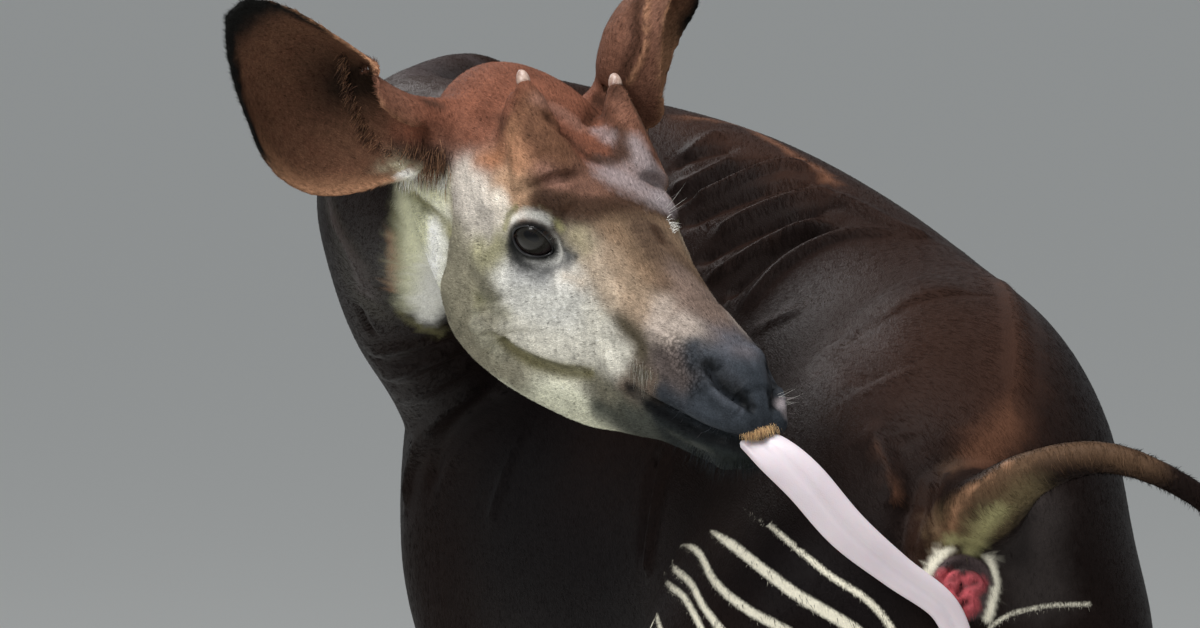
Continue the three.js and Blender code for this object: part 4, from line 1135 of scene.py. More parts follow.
def shaped_skin(sizes):
    """Skin of the whole body, fused, relaxed and sculpted."""
    rough, co, rough_head = rough_body(sizes)
    parts = [(co, [list(p.vertices) for p in rough.polygons])] + [solid_copy(n) for n in LOWER_LEG_NODES]
    parts += [head_shape(), tail_shape(TAIL_ROWS), tail_shape(SADDLE_ROWS)]
    for side in (1, -1):
        parts.append(horn_shape(side, HORN_FOOT, HORN_TIP, HORN_ROWS))
    parts.append(horn_shape(-1, RIDGE_FOOT, RIDGE_TIP, RIDGE_ROWS))
    parts += [ear_shape(ear) for ear in EARS.values()] + [ear_root(ear) for ear in EARS.values()]
    skin = Surface(voxelled(parts, sizes.fine_voxel))
    head = is_head(skin.co)
    x, y, z = in_head(skin.co).T
    skin.relax(np.where(head, 0.4, 0.95), 14)
    joint = np.exp(-(((x + 175) / 50) ** 2)) * (np.abs(y) < 115) * (z < 150) * (z > -200)
    skin.relax(np.where(np.hypot(x + 175, y) < 260, joint, 0), 60)
    skin.relax(root_weight(skin.co) * 0.9, 24)
    tail = np.linalg.norm(skin.co - on_body((-690, -10, 1230)), axis=1)
    skin.relax(1 - eased(0.09, 0.16, tail), 45)
    skin.refresh()
    body_tree = tree_of(rough, places_of(rough), ~rough_head)
    body = (~head).astype(float)
    for pixels, reach, height in BODY_FORMS.values():
        skin.raise_along(seen_on(body_tree, pixels), reach, height, False, body)
    skin.relax(body * 0.6, 2)
    skin.refresh()
    label = skin.mesh.attributes.new("head", "FLOAT", "POINT")
    label.data.foreach_set("value", head.astype(np.float32))
    face = head & (x > -70) & (np.abs(y) < 110) & (z < 110)
    thin = with_modifier(
        skin.mesh, "DECIMATE", weights=merging_freedom(skin.co, head, face), decimate_type="COLLAPSE",
        ratio=sizes.triangles / (2 * len(skin.mesh.polygons)), vertex_group="weights",
        vertex_group_factor=0.0012)
    return thin, body_tree


def split_edges(mesh, wanted, longest):
    """Mesh with the edges halved that join two wanted points and are longer than a limit."""
    co = places_of(mesh)
    work = bmesh.new()
    work.from_mesh(mesh)
    work.verts.ensure_lookup_table()
    edges = []
    for edge in work.edges:
        a, b = (v.index for v in edge.verts)
        if wanted[a] and wanted[b] and np.linalg.norm(co[a] - co[b]) > longest:
            edges.append(edge)
    bmesh.ops.subdivide_edges(work, edges=edges, cuts=1, use_grid_fill=True, smooth=0.0)
    bmesh.ops.triangulate(work, faces=[f for f in work.faces if len(f.verts) > 3])
    work.to_mesh(mesh)
    work.free()


def head_label(mesh):
    """How far each point belongs to the head, from 0 to 1."""
    label = np.empty(len(mesh.vertices), np.float32)
    mesh.attributes["head"].data.foreach_get("value", label)
    return label


def refined(mesh, body_tree):
    """Skin with finer faces around the eyes, nostrils and mouth, along the stripes and below the tail."""
    local = folded(places_of(mesh))
    near_eye = np.linalg.norm(local - eye_centre(-1), axis=1) < 36
    muzzle = (local[:, 0] > 226) & (local[:, 0] < 320) & (np.abs(local[:, 1]) < 70) & (local[:, 2] < 0)
    lips = (local[:, 0] > 140) & (local[:, 0] < 230) & (local[:, 1] < -20)
    lips &= np.abs(local[:, 2] + 105) < 14
    label = head_label(mesh)
    split_edges(mesh, (near_eye | muzzle | lips) & (label > 0.9), FINE_EDGE * MM)
    vent = seen_on(body_tree, [ANUS])[0]
    for longest in STRIPE_EDGES:
        split_edges(mesh, striped(places_of(mesh), body_tree) > -8.5, longest * MM)
    for longest in VENT_EDGES:
        near_vent = np.linalg.norm(places_of(mesh) - vent, axis=1) < VENT_REACH * MM
        split_edges(mesh, near_vent, longest * MM)
    return mesh


def sculpted(mesh, body_tree):
    """Skin with the forms and creases of the head, and with its lids."""
    skin = Surface(refined(mesh, body_tree))
    label = head_label(mesh)
    head = label > 0.5
    head_tree = tree_of(mesh, skin.co, label > 0.99)
    only = eased(0.3, 1.0, label)
    for pixels, reach, height in HEAD_FORMS.values():
        skin.raise_along(seen_on(head_tree, pixels, 4), reach, height, True, only)
    for pixels, reach, height in SEEN_FORMS.values():
        skin.raise_along(seen_on(head_tree, pixels, 4), reach, height, False)
    skin.refresh()
    for pixels, reach, height in VENT_FORMS:
        skin.raise_along(seen_on(body_tree, pixels, 4), reach, height, False)
    skin.refresh()
    shape_lids(skin, head)
    skin.refresh()
    for pixels, reach, height in HEAD_CREASES.values():
        skin.raise_along(seen_on(head_tree, pixels, 3), reach, height, True, only, 0.2)
    first_top, first_bottom, last_top, last_bottom, number = LIP_WRINKLES
    for k in range(number):
        t = k / (number - 1)
        top = np.array(first_top) * (1 - t) + np.array(last_top) * t
        bottom = np.array(first_bottom) * (1 - t) + np.array(last_bottom) * t
        skin.raise_along(seen_on(head_tree, [top, bottom], 3), 1.7, -1.9, True, only)
    tight = only * (skin.head[:, 0] > 130)
    skin.relax(tight * 0.35, 1)
    skin.refresh()
    return skin, head_tree, label


# Paint and marks

def rough_edge(points, size, seed):
    """Wandering value from -1 to 1 that changes over about the given size."""
    spin = np.random.default_rng(seed).normal(size=(6, 3)) / size
    phase = np.random.default_rng(seed + 1).uniform(0, 6.3, 6)
    return np.sin(points @ spin.T * 2.2 + phase).mean(axis=1) * 1.6


def colour(name):
    """Linear colour of a name."""
    return np.array(linear(*COLOURS[name])[:3])


class Paint:
    """Colours of the skin, laid on stroke by stroke."""

    def __init__(self, skin):
        self.skin = skin
        self.tone = np.tile(colour("body"), (len(skin.co), 1))
        self.waver = 0.14 * rough_edge(skin.co, 12 * MM, 3) + 0.14 * rough_edge(skin.co, 4 * MM, 9)

    def wash(self, name, amount):
        """Mixes a colour in by an amount for every point."""
        self.tone += (colour(name) - self.tone) * np.clip(amount, 0, 1)[:, None]

    def blend(self, rows, tree, only):
        """Mixes soft washes on both sides of the head into one smooth field of colour."""
        total = np.full(len(self.tone), 1e-4)
        mixture = np.tile(colour("crown") * 1e-4, (len(self.tone), 1))
        for name, reach, strength, pixels in rows:
            near, gap, _ = self.skin.near(seen_on(tree, pixels, 5), reach * 3.2, True)
            edge = gap / reach * (1 + 0.9 * self.waver[near])
            weight = strength * np.exp(-2.0 * edge)
            total[near] += weight
            mixture[near] += weight[:, None] * colour(name)
        self.tone += (mixture / total[:, None] - self.tone) * only[:, None]

    def stroke(self, name, reach, strength, path, on_both, only):
        """Lays a colour along a path."""
        near, gap, _ = self.skin.near(path, reach * 1.7, on_both)
        edge = gap / reach * (1 + self.waver[near])
        amount = strength * (1 - eased(0.15, 1.6, edge)) * only[near]
        self.tone[near] += (colour(name) - self.tone[near]) * amount[:, None]


def ear_places(points, ear):
    """Share along an ear, share across it, and outward direction, of points near it."""
    share = np.linspace(0, 1, 60)
    at, front, crown = ear_frame(ear, share)
    local = in_head(points)
    gap = ((local[:, None, :] - at[None]) ** 2).sum(-1)
    best = gap.argmin(1)
    rel = local - at[best]
    across, height = (rel * crown[best]).sum(1), -(rel * front[best]).sum(1)
    rows = table_at(EAR_ROWS, share[best])
    turn = np.degrees(np.arctan2(across / rows[:, 1], height / rows[:, 2]))
    wrap = np.where(turn > 0, rows[:, 3], rows[:, 4])
    out = unit(crown[best] * across[:, None] - front[best] * height[:, None]) @ HEAD_TURN.T
    return share[best], turn / wrap, out


def paint_ears(paint, label):
    """Colours the cup of each ear inside and out."""
    skin = paint.skin
    for ear in EARS.values():
        middle = ear["path"][2][1:]
        close = np.flatnonzero((np.linalg.norm(in_head(skin.co) - middle, axis=1) < 190) & (label > 0.5))
        share, turn, out = ear_places(skin.co[close], ear)
        inside = eased(0.25, -0.25, (skin.normal[close] * out).sum(1))
        waver = paint.waver[close]
        on_ear = eased(0.10, 0.24, share + 0.1 * waver)
        tone = paint.tone[close]

        def lay(name, amount):
            """Mixes a colour into the ear."""
            nonlocal tone
            tone = tone + (colour(name) - tone) * np.clip(amount * on_ear, 0, 1)[:, None]

        lay("ear back", np.ones(len(close)))
        lay("crown", 0.5 * (1 - inside) * eased(0.9, 0.3, share))
        lay("ear inside", inside)
        lay("crown", inside * 0.5 * eased(-0.2, 0.5, waver))
        lay("tan", inside * 0.8 * eased(0.55, 0.95, -turn + waver * 0.2) * eased(0.75, 0.5, share))
        # Painted shade in the deep of the cup
        deep = np.exp(-(((share - 0.42) / 0.27) ** 2)) * np.exp(-(((turn - 0.42) / 0.42) ** 2))
        lay("ear deep", inside * np.clip(1.5 * deep + 0.3 * waver, 0, 1))
        side = np.where(turn > 0, 0.10, 0.0)
        edge = eased(0.80, 0.95, np.abs(turn) - side + 0.10 * waver + 0.4 * eased(0.72, 1.0, share))
        edge = np.maximum(edge, eased(0.84, 0.95, share + 0.02 * waver))
        tip_side = eased(0.42, 0.62, share)
        lay("ear edge", edge * tip_side)
        # Painted highlight along the rim on the crown side
        lay("ear rim", eased(0.94, 1.0, turn) * eased(0.25, 0.4, share) * 0.8)
        lay("tan", edge * (1 - tip_side) * 0.6)
        paint.tone[close] = tone


def on_legs(hind, levels, z):
    """Smooth step of a height between two levels, one pair for hind legs and one for fore legs."""
    return np.where(hind, eased(*levels[0], z), eased(*levels[1], z))


def painted(skin, body_tree, head_tree, label):
    """Colour of every point of the skin, painted light and shade included."""
    paint = Paint(skin)
    head, body = eased(0.3, 0.7, label), 1 - eased(0.3, 0.7, label)
    co, normal = skin.co, skin.normal
    up = normal[:, 2]
    # Painted light from above: skin of the upper trunk that faces up is washed lighter brown
    paint.wash("back", 0.5 * body * eased(0.5, 1.0, up) * eased(1.2, 1.4, co[:, 2]))
    legs = body * eased(0.92, 0.78, co[:, 2])
    paint.wash("body black", legs)
    for name, reach, strength, pixels in BODY_PAINT.values():
        paint.stroke(name, reach, strength, seen_on(body_tree, pixels), False, body)
    paint.blend(HEAD_WASHES, head_tree, head)
    behind = head * eased(-120, -150, skin.head[:, 0]) * eased(30, 0, skin.head[:, 2])
    paint.wash("green white", behind)
    under = head * eased(-110, -135, skin.head[:, 2]) * eased(40, 20, np.abs(skin.head[:, 1]))
    paint.wash("jaw light", under * eased(130, 60, skin.head[:, 0]) * 0.8)
    mottle = 0.16 * rough_edge(co, 22 * MM, 41) + 0.14 * rough_edge(co, 7 * MM, 43)
    paint.tone *= 1 + (mottle * head)[:, None]
    for name, reach, strength, pixels in HEAD_PAINT:
        paint.stroke(name, reach, strength, seen_on(head_tree, pixels, 4), True, head)
    for side in (1, -1):
        centre, ahead, above, _ = eye_axes(side)
        rel = in_head(co) - centre
        around = lid_measure(rel @ ahead, rel @ above)
        close = (np.linalg.norm(rel, axis=1) < 45) * head
        paint.wash("black", close * eased(1.62, 1.15, around) * 0.92)
    paint_ears(paint, label)
    whole_tree = tree_of(skin.mesh, co, np.ones(len(co), bool))
    for name, reach, strength, pixels in SEEN_PAINT:
        paint.stroke(name, reach, strength, seen_on(whole_tree, pixels, 5), False, np.ones(len(co)))
    vent = seen_on(body_tree, [ANUS])[0]
    ring = seen_on(body_tree, ANUS_RING)
    gap = np.linalg.norm(co - vent, axis=1) / MM
    paint.wash("fold", body * eased(ANUS_RADIUS + 1, ANUS_RADIUS - 3, gap))
    paint.stroke("cream", 4.6, 1.0, ring, False, body)
    # Grooves among the folds below the tail are painted black as painted shade; raised inner lobes are raw
    # red and the rest grey-brown skin
    for k, (pixels, reach, height) in enumerate(VENT_FORMS):
        inner = k > 2 and height > 0
        name = "black" if height < 0 else "raw" if inner else "fold"
        path = seen_on(body_tree, pixels, 4)
        paint.stroke(name, reach * (1.6 if inner else 0.9), 1.0, path, False, body)
    z = co[:, 2] + 0.012 * rough_edge(co, 60 * MM, 31)
    hind = co[:, 0] < 0
    stocking = on_legs(hind, STOCKING_ENDS, z) * body * (z < np.where(hind, *STOCKING_LIMITS))
    paint.wash("cream", stocking)
    ahead = normal[:, 0]
    paint.wash("body", stocking * eased(0.2, 0.8, ahead) * np.where(hind, 0.0, 0.9) * eased(0.2, 0.24, z))
    paint.wash("body", body * np.exp(-(((z - ANKLET_HEIGHT) / ANKLET_REACH) ** 2)) * 1.2)
    paint.wash("fold", body * eased(0.10, 0.07, z) * 0.8)
    return paint.tone


def striped(co, tree):
    """How far places lie inside the white stripes of the haunches, in millimetres."""
    stripe = np.full(len(co), -9.0)
    mirrored = co * (1, -1, 1) + (0, 2 * HIPS_AT[1], 0)
    for spots in (co, mirrored):
        hind = np.flatnonzero(spots[:, 0] < HIPS_AT[0] + 0.1)
        for start, end, pixels in HAUNCH_STRIPES:
            near, gap, share = path_distance(spots[hind], seen_on(tree, pixels, 8), 14 * MM)
            wide = start + (end - start) * share
            wide = wide * (0.3 + 0.7 * eased(0, 0.12, share)) * eased(0, 0.02, share)
            stripe[hind[near]] = np.maximum(stripe[hind[near]], wide - gap / MM)
    half_width, pixels = RIGHT_HAUNCH_STRIPE
    near, gap, _ = path_distance(co, seen_on(tree, pixels, 8), 14 * MM)
    stripe[near] = np.maximum(stripe[near], half_width - gap / MM)
    return stripe


def marked(skin, body_tree, label):
    """Stripe distance, leg band width and bare skin, for each point."""
    co = skin.co
    body = label < 0.5
    stripe = np.where(body, striped(co, body_tree), -9.0)
    z = co[:, 2]
    hind = co[:, 0] < 0
    out = np.abs(skin.normal[:, 1])
    legs = on_legs(hind, BAND_TOPS, z) * on_legs(hind, BAND_FEET, z)
    band = 7.5 * legs * body * (0.55 + 0.45 * eased(0.0, 0.5, np.maximum(out, -skin.normal[:, 0])))
    band = np.where(body, band, 0) - 2.0 * (1 - legs)
    x = skin.head[:, 0]
    muzzle = (label > 0.5) * (np.abs(skin.head[:, 1]) < 90)
    bare = eased(222, 240, x + 6 * rough_edge(co, 10 * MM, 5)) * muzzle
    return stripe, band, bare


def hair_guide(points, head_share):
    """Direction in which the coat lies at places of the body."""
    local = in_head(points)
    upper = eased(-40, 40, local[:, 2])[:, None]
    on_face = (np.array((-1.0, 0, -0.35)) * (1 - upper) + np.array((-1.0, 0, 0.12)) * upper) @ HEAD_TURN.T
    ears = np.zeros((len(points), 1))
    along = np.zeros_like(on_face)
    for ear in EARS.values():
        at, _, _ = ear_frame(ear, np.array([0.02, 0.5, 0.98]))
        axis = unit(at[2] - at[0]) @ HEAD_TURN.T
        share = eased(24, 60, (local - at[0]) @ (axis @ HEAD_TURN))
        near = np.linalg.norm(local - at[1], axis=1) < 175
        along += (share * near)[:, None] * axis
        ears += (share * near)[:, None]
    on_face = on_face * (1 - np.clip(ears, 0, 1)) + along
    neck = eased(0.62, 0.30, np.linalg.norm(points - HEAD_AT, axis=1))[:, None]
    away = unit(points - HEAD_AT)
    low = eased(1.30, 1.0, points[:, 2])[:, None]
    trunk = np.array((-1.0, 0, -0.45)) * (1 - low) + np.array((-0.15, 0, -1.0)) * low
    trunk = trunk * (1 - neck) + unit(away + np.array((0, 0, -0.6))) * neck
    share = np.asarray(head_share)[:, None]
    return unit(on_face * share + trunk * (1 - share))


def skin_unwrap(points, head_share):
    """Place of skin points on a flat pattern: head, ears, trunk and legs in a quarter each."""
    local = in_head(points)
    head = np.asarray(head_share) > 0.5
    ear = head & ((np.abs(local[:, 1]) > 110) | (local[:, 2] > 140))
    leg = ~head & (points[:, 2] < 0.8)
    around = np.arctan2(local[:, 1], local[:, 2] + 45) / (2 * np.pi) + 0.5
    u, v = around, (local[:, 0] + 240) / 530
    side = local[:, 1] > 0
    reach = np.linalg.norm(local - (-165, 0, 42), axis=1) / 320
    facing = np.where(side, local[:, 2], np.abs(local[:, 1])) - 40
    turn = np.arctan2(local[:, 0] + 190, facing) / (2 * np.pi) + 0.5
    u, v = np.where(ear, 0.5 * side + 0.48 * turn, u), np.where(ear, reach, v)
    middle = HIPS_AT[1] + 0.1
    body_turn = np.arctan2(points[:, 1] - middle, points[:, 2] - 1.15) / (2 * np.pi) + 0.5
    u, v = np.where(head, u, body_turn), np.where(head, v, (points[:, 0] + 0.7) / 1.4)
    fore = points[:, 0] > 0
    number = fore * 2 + (points[:, 1] > np.where(fore, middle, HIPS_AT[1]))
    leg_turn = np.mod(np.arctan2(points[:, 1], points[:, 0]) / (2 * np.pi) + 0.5, 1)
    u, v = np.where(leg, number / 4 + 0.24 * leg_turn, u), np.where(leg, points[:, 2] / 0.8, v)
    corner_u = np.where(head, np.where(ear, 0.52, 0.02), np.where(leg, 0.52, 0.02))
    corner_v = np.where(head, 0.52, 0.02)
    return np.column_stack([corner_u + 0.45 * np.clip(u, 0, 1), corner_v + 0.45 * np.clip(v, 0, 1)])


def joined_mesh(name, points, corners, sides):
    """Mesh of many like faces, from points and a flat list of their corners."""
    mesh = bpy.data.meshes.new(name)
    count = len(corners) // sides
    mesh.vertices.add(len(points))
    mesh.vertices.foreach_set("co", np.asarray(points, np.float32).ravel())
    mesh.loops.add(len(corners))
    mesh.loops.foreach_set("vertex_index", np.asarray(corners, np.int32))
    mesh.polygons.add(count)
    mesh.polygons.foreach_set("loop_start", np.arange(0, len(corners), sides, dtype=np.int32))
    mesh.update(calc_edges=True)
    return mesh


class Ground:
    """Skin as the ground that hair grows from."""

    def __init__(self, mesh):
        self.mesh = mesh
        self.co, self.normal = places_of(mesh), normals_of(mesh)
        mesh.calc_loop_triangles()
        corners = np.empty(len(mesh.loop_triangles) * 3, np.int32)
        mesh.loop_triangles.foreach_get("vertices", corners)
        self.faces = corners.reshape(-1, 3)
        a, b, c = (self.co[self.faces[:, k]] for k in range(3))
        self.area = np.linalg.norm(np.cross(b - a, c - a), axis=1) / 2
        self.tone = self.read("paint")
        self.marks = self.read("marks")
        self.share = self.read("lie")[:, 0]

    def read(self, name):
        """Colour attribute of every point."""
        values = np.empty(len(self.mesh.vertices) * 4, np.float32)
        self.mesh.color_attributes[name].data.foreach_get("color", values)
        return values.reshape(-1, 4)[:, :3].astype(float)

    def scatter(self, density, count, seed):
        """Roots spread over the skin by a density for each of its points."""
        draw = np.random.default_rng(seed)
        weight = self.area * density[self.faces].mean(1)
        picked = draw.choice(len(weight), count, p=weight / weight.sum())
        r, s = np.sqrt(draw.random(count)), draw.random(count)
        mix = np.column_stack([1 - r, r * (1 - s), r * s])
        corners = self.faces[picked]

        def spread(values):
            """Values of the skin's points at the roots."""
            shares = mix[..., None] if values.ndim > 1 else mix
            return (values[corners] * shares).sum(1)

        return {
            "co": spread(self.co), "normal": unit(spread(self.normal)), "tone": spread(self.tone),
            "marks": spread(self.marks), "share": spread(self.share), "draw": draw,
        }


def short_coat(name, roots, length, width, lift, spread=0.18):
    """Short lying hairs, one tapered blade each, shaded like the skin below them."""
    draw, count = roots["draw"], len(roots["co"])
    normal = roots["normal"]
    guide = hair_guide(roots["co"], roots["share"]) + draw.normal(scale=spread, size=(count, 3))
    guide = unit(guide - (guide * normal).sum(1)[:, None] * normal)
    side = np.cross(normal, guide)
    long = (length * draw.uniform(0.6, 1.25, count) * MM)[:, None]
    wide = (width * draw.uniform(0.6, 1.2, count) * MM / 2)[:, None]
    tip = guide * long + normal * (lift * draw.uniform(0.2, 1.4, count) * MM)[:, None]
    base = roots["co"] - normal * 0.2 * MM
    points = np.stack([base + side * wide, base - side * wide, base + tip], 1).reshape(-1, 3)
    mesh = joined_mesh(name, points, np.arange(3 * count), 3)
    clumps = 1 + (0.2 + 0.5 * roots["share"]) * rough_edge(roots["co"], 2.6 * MM, 17)
    tone = np.clip(roots["tone"] * (clumps * draw.uniform(0.7, 1.3, count))[:, None], 0, 1)
    put_colour(mesh, "paint", np.repeat(tone, 3, axis=0))
    shown = unit(normal + draw.normal(scale=0.10, size=(count, 3)))
    mesh.shade_smooth()
    mesh.normals_split_custom_set_from_vertices(np.repeat(shown, 3, axis=0).tolist())
    lay_patches(mesh, np.repeat(skin_unwrap(roots["co"], roots["share"]), 3, axis=0))
    return mesh


PATCH = 0.003


def lay_patches(mesh, places):
    """Gives every point a spot within a small patch at its root's place on the unwrapped skin."""
    corners = np.empty(len(mesh.loops), np.int32)
    mesh.loops.foreach_get("vertex_index", corners)
    step = np.array([(0, 0), (PATCH, 0), (PATCH / 2, PATCH)])
    uv = places[corners] + step[corners % 3]
    layer = mesh.uv_layers.new(name="OFBake")
    layer.data.foreach_set("uv", uv.astype(np.float32).ravel())


# Materials

def add(tree, kind, settings=None, **inputs):
    """Node of a kind with its settings, and its inputs by name."""
    made = tree.nodes.new(kind)
    for key, value in (settings or {}).items():
        setattr(made, key, value)
    for key, value in inputs.items():
        socket = made.inputs[key.replace("_", " ")]
        if isinstance(value, bpy.types.NodeSocket):
            tree.links.new(value, socket)
        else:
            socket.default_value = value
    return made


def feed(tree, value, socket):
    """Links or sets an input."""
    if isinstance(value, bpy.types.NodeSocket):
        tree.links.new(value, socket)
    else:
        socket.default_value = value


def calc(tree, operation, *values):
    """Output of a math node."""
    made = add(tree, "ShaderNodeMath", {"operation": operation})
    for value, socket in zip(values, made.inputs):
        feed(tree, value, socket)
    return made.outputs[0]


def plus(tree, first, second):
    """Sum of two values."""
    return calc(tree, "ADD", first, second)


def minus(tree, first, second):
    """Difference of two values."""
    return calc(tree, "SUBTRACT", first, second)


def times(tree, first, second):
    """Product of two values."""
    return calc(tree, "MULTIPLY", first, second)


def stored(tree, name):
    """Colour that the points carry under a name."""
    return add(tree, "ShaderNodeAttribute", {"attribute_name": name}).outputs["Color"]


def channels(tree, tone):
    """The three channels of a colour."""
    split = add(tree, "ShaderNodeSeparateColor")
    tree.links.new(tone, split.inputs[0])
    return split.outputs[0], split.outputs[1], split.outputs[2]


def object_place(tree):
    """Place of a shaded point in its object's space."""
    return tree.nodes.new("ShaderNodeTexCoord").outputs["Object"]


def bumped(tree, shader, height, strength, distance):
    """Lets a height disturb the shading."""
    bump = add(tree, "ShaderNodeBump", Strength=strength, Distance=distance, Height=height)
    tree.links.new(bump.outputs[0], shader.inputs["Normal"])


def step(tree, low, high, value):
    """Smooth step of a value between two levels."""
    made = add(tree, "ShaderNodeMapRange", {"interpolation_type": "SMOOTHSTEP"})
    for item, socket in zip((value, low, high), made.inputs):
        feed(tree, item, socket)
    return made.outputs[0]


def mixed(tree, factor, first, second, kind="MIX"):
    """Colour mixed from two."""
    made = add(tree, "ShaderNodeMix", {"data_type": "RGBA", "blend_type": kind})
    for value, socket in zip((factor, first, second), (made.inputs[0], made.inputs[6], made.inputs[7])):
        feed(tree, value, socket)
    return made.outputs[2]


def grain(tree, place, scales, detail=2.0, roughness=0.5):
    """Noise drawn out along some axis."""
    stretched = add(tree, "ShaderNodeVectorMath", {"operation": "MULTIPLY"})
    feed(tree, place, stretched.inputs[0])
    stretched.inputs[1].default_value = scales
    noise = add(tree, "ShaderNodeTexNoise", Scale=1.0, Detail=detail, Roughness=roughness)
    tree.links.new(stretched.outputs[0], noise.inputs["Vector"])
    return noise.outputs[0]


def linear(red, green, blue):
    """Screen colour from 0 to 255 as a linear colour with full opacity."""
    level = np.array((red, green, blue)) / 255
    level = np.where(level <= 0.04045, level / 12.92, ((level + 0.055) / 1.055) ** 2.4)
    return (*level.tolist(), 1.0)


def plain_material(name, tone, roughness, **more):
    """Principled material with fixed values."""
    material = bpy.data.materials.new(name)
    material.use_nodes = True
    shader = material.node_tree.nodes["Principled BSDF"]
    shader.inputs["Base Color"].default_value = tone
    shader.inputs["Roughness"].default_value = roughness
    for key, value in more.items():
        shader.inputs[key.replace("_", " ")].default_value = value
    return material


def shaders_of(material):
    """Node tree and main shader of a material."""
    return material.node_tree, material.node_tree.nodes["Principled BSDF"]


def group_of(name, inputs, outputs):
    """Empty shader group with its inputs and outputs."""
    tree = bpy.data.node_groups.new(name, "ShaderNodeTree")
    for title, kind in inputs:
        tree.interface.new_socket(title, in_out="INPUT", socket_type=kind)
    for title, kind in outputs:
        tree.interface.new_socket(title, in_out="OUTPUT", socket_type=kind)
    entry, leave = tree.nodes.new("NodeGroupInput"), tree.nodes.new("NodeGroupOutput")
    return tree, entry, leave


def hair_grain_group():
    """Streaks of short hair that run along the head, along the trunk and down the legs."""
    name = "hair grain"
    if name in bpy.data.node_groups:
        return bpy.data.node_groups[name]
    tree, entry, leave = group_of(
        name,
        [("Head", "NodeSocketFloat"), ("Upright", "NodeSocketFloat")],
        [("Streaks", "NodeSocketFloat"), ("Broad", "NodeSocketFloat")])
    place = object_place(tree)
    turn = add(tree, "ShaderNodeMapping", {"vector_type": "TEXTURE"}, Vector=place)
    turn.inputs["Rotation"].default_value = Matrix(HEAD_TURN.tolist()).to_euler()
    head_place = turn.outputs[0]
    sets = (
        (head_place, (110, 800, 800), (30, 190, 190)),
        (place, (80, 620, 620), (20, 150, 150)),
        (place, (620, 620, 80), (150, 150, 20)),
    )
    fine = [grain(tree, p, scales, 2.0, 0.6) for p, scales, _ in sets]
    broad = [grain(tree, p, scales, 3.0, 0.6) for p, _, scales in sets]
    for chosen, title in ((fine, "Streaks"), (broad, "Broad")):
        head, body, legs = chosen
        body = plus(tree, body, times(tree, entry.outputs["Upright"], minus(tree, legs, body)))
        both = plus(tree, body, times(tree, entry.outputs["Head"], minus(tree, head, body)))
        tree.links.new(both, leave.inputs[title])
    return tree


def coat_material():
    """Short glossy coat with painted colours, stripes and leg bands, and bare skin at the muzzle whose
    pebbles carry painted shade in their crevices.
    """
    material = plain_material("coat", (0.03, 0.015, 0.01, 1), 0.5)
    tree, shader = shaders_of(material)
    shader.inputs["Specular IOR Level"].default_value = 0.03
    stripe, band, bare = channels(tree, stored(tree, "marks"))
    on_head_share, upright, pebbled = channels(tree, stored(tree, "lie"))
    settings = {"node_tree": hair_grain_group()}
    hair = add(tree, "ShaderNodeGroup", settings, Head=on_head_share, Upright=upright)
    streaks, broad = hair.outputs["Streaks"], hair.outputs["Broad"]
    place = object_place(tree)
    split = add(tree, "ShaderNodeSeparateXYZ")
    tree.links.new(place, split.inputs[0])
    height = split.outputs[2]
    wander = grain(tree, place, (9, 9, 4), 1.0)
    ragged = times(tree, minus(tree, streaks, 0.5), 3.0)
    white = step(tree, -2.0, 2.0, plus(tree, stripe, ragged))
    turns = plus(tree, times(tree, height, 1000 / BAND_STEP_MM), times(tree, wander, 2.2))
    wave = times(tree, calc(tree, "PINGPONG", turns, 0.5), BAND_STEP_MM)
    banded = step(tree, -0.8, 0.8, plus(tree, minus(tree, band, wave), ragged))
    white = calc(tree, "MAXIMUM", white, banded)
    base = mixed(tree, white, stored(tree, "paint"), linear(*COLOURS["cream"]))
    shade = plus(tree, 0.62, times(tree, streaks, 0.5))
    shade = plus(tree, shade, times(tree, broad, 0.3))
    speckle = step(tree, 0.34, 0.66, grain(tree, place, (760, 760, 760), 2.0, 0.7))
    speckle = times(tree, minus(tree, speckle, 0.5), times(tree, on_head_share, 0.4))
    patches = times(tree, minus(tree, broad, 0.5), times(tree, on_head_share, 0.5))
    speckle = plus(tree, speckle, patches)
    shade = times(tree, shade, plus(tree, 1.0, speckle))
    cells = add(tree, "ShaderNodeTexVoronoi", Vector=place, Scale=290.0)
    # Painted shade in the crevices between the pebbles of the bare skin
    crevice_shade = times(tree, step(tree, 0.3, 0.75, cells.outputs["Distance"]), pebbled)
    shade = times(tree, shade, minus(tree, 1.0, times(tree, crevice_shade, 0.6)))
    shaded = mixed(tree, 1.0, base, shade, "MULTIPLY")
    tree.links.new(shaded, shader.inputs["Base Color"])
    rough = plus(tree, 0.33, times(tree, streaks, 0.2))
    rough = plus(tree, rough, times(tree, on_head_share, 0.16))
    tree.links.new(minus(tree, rough, times(tree, bare, 0.14)), shader.inputs["Roughness"])
    pores = add(tree, "ShaderNodeTexVoronoi", Vector=place, Scale=620.0)
    lumps = times(tree, times(tree, cells.outputs["Distance"], pebbled), -1.1)
    lumps = plus(tree, lumps, times(tree, times(tree, pores.outputs["Distance"], bare), -0.35))
    hairy = minus(tree, 1.0, bare)
    coat = times(tree, plus(tree, streaks, times(tree, broad, 0.8)), hairy)
    lift = plus(tree, coat, lumps)
    bumped(tree, shader, lift, 0.5, 0.0011)
    return material


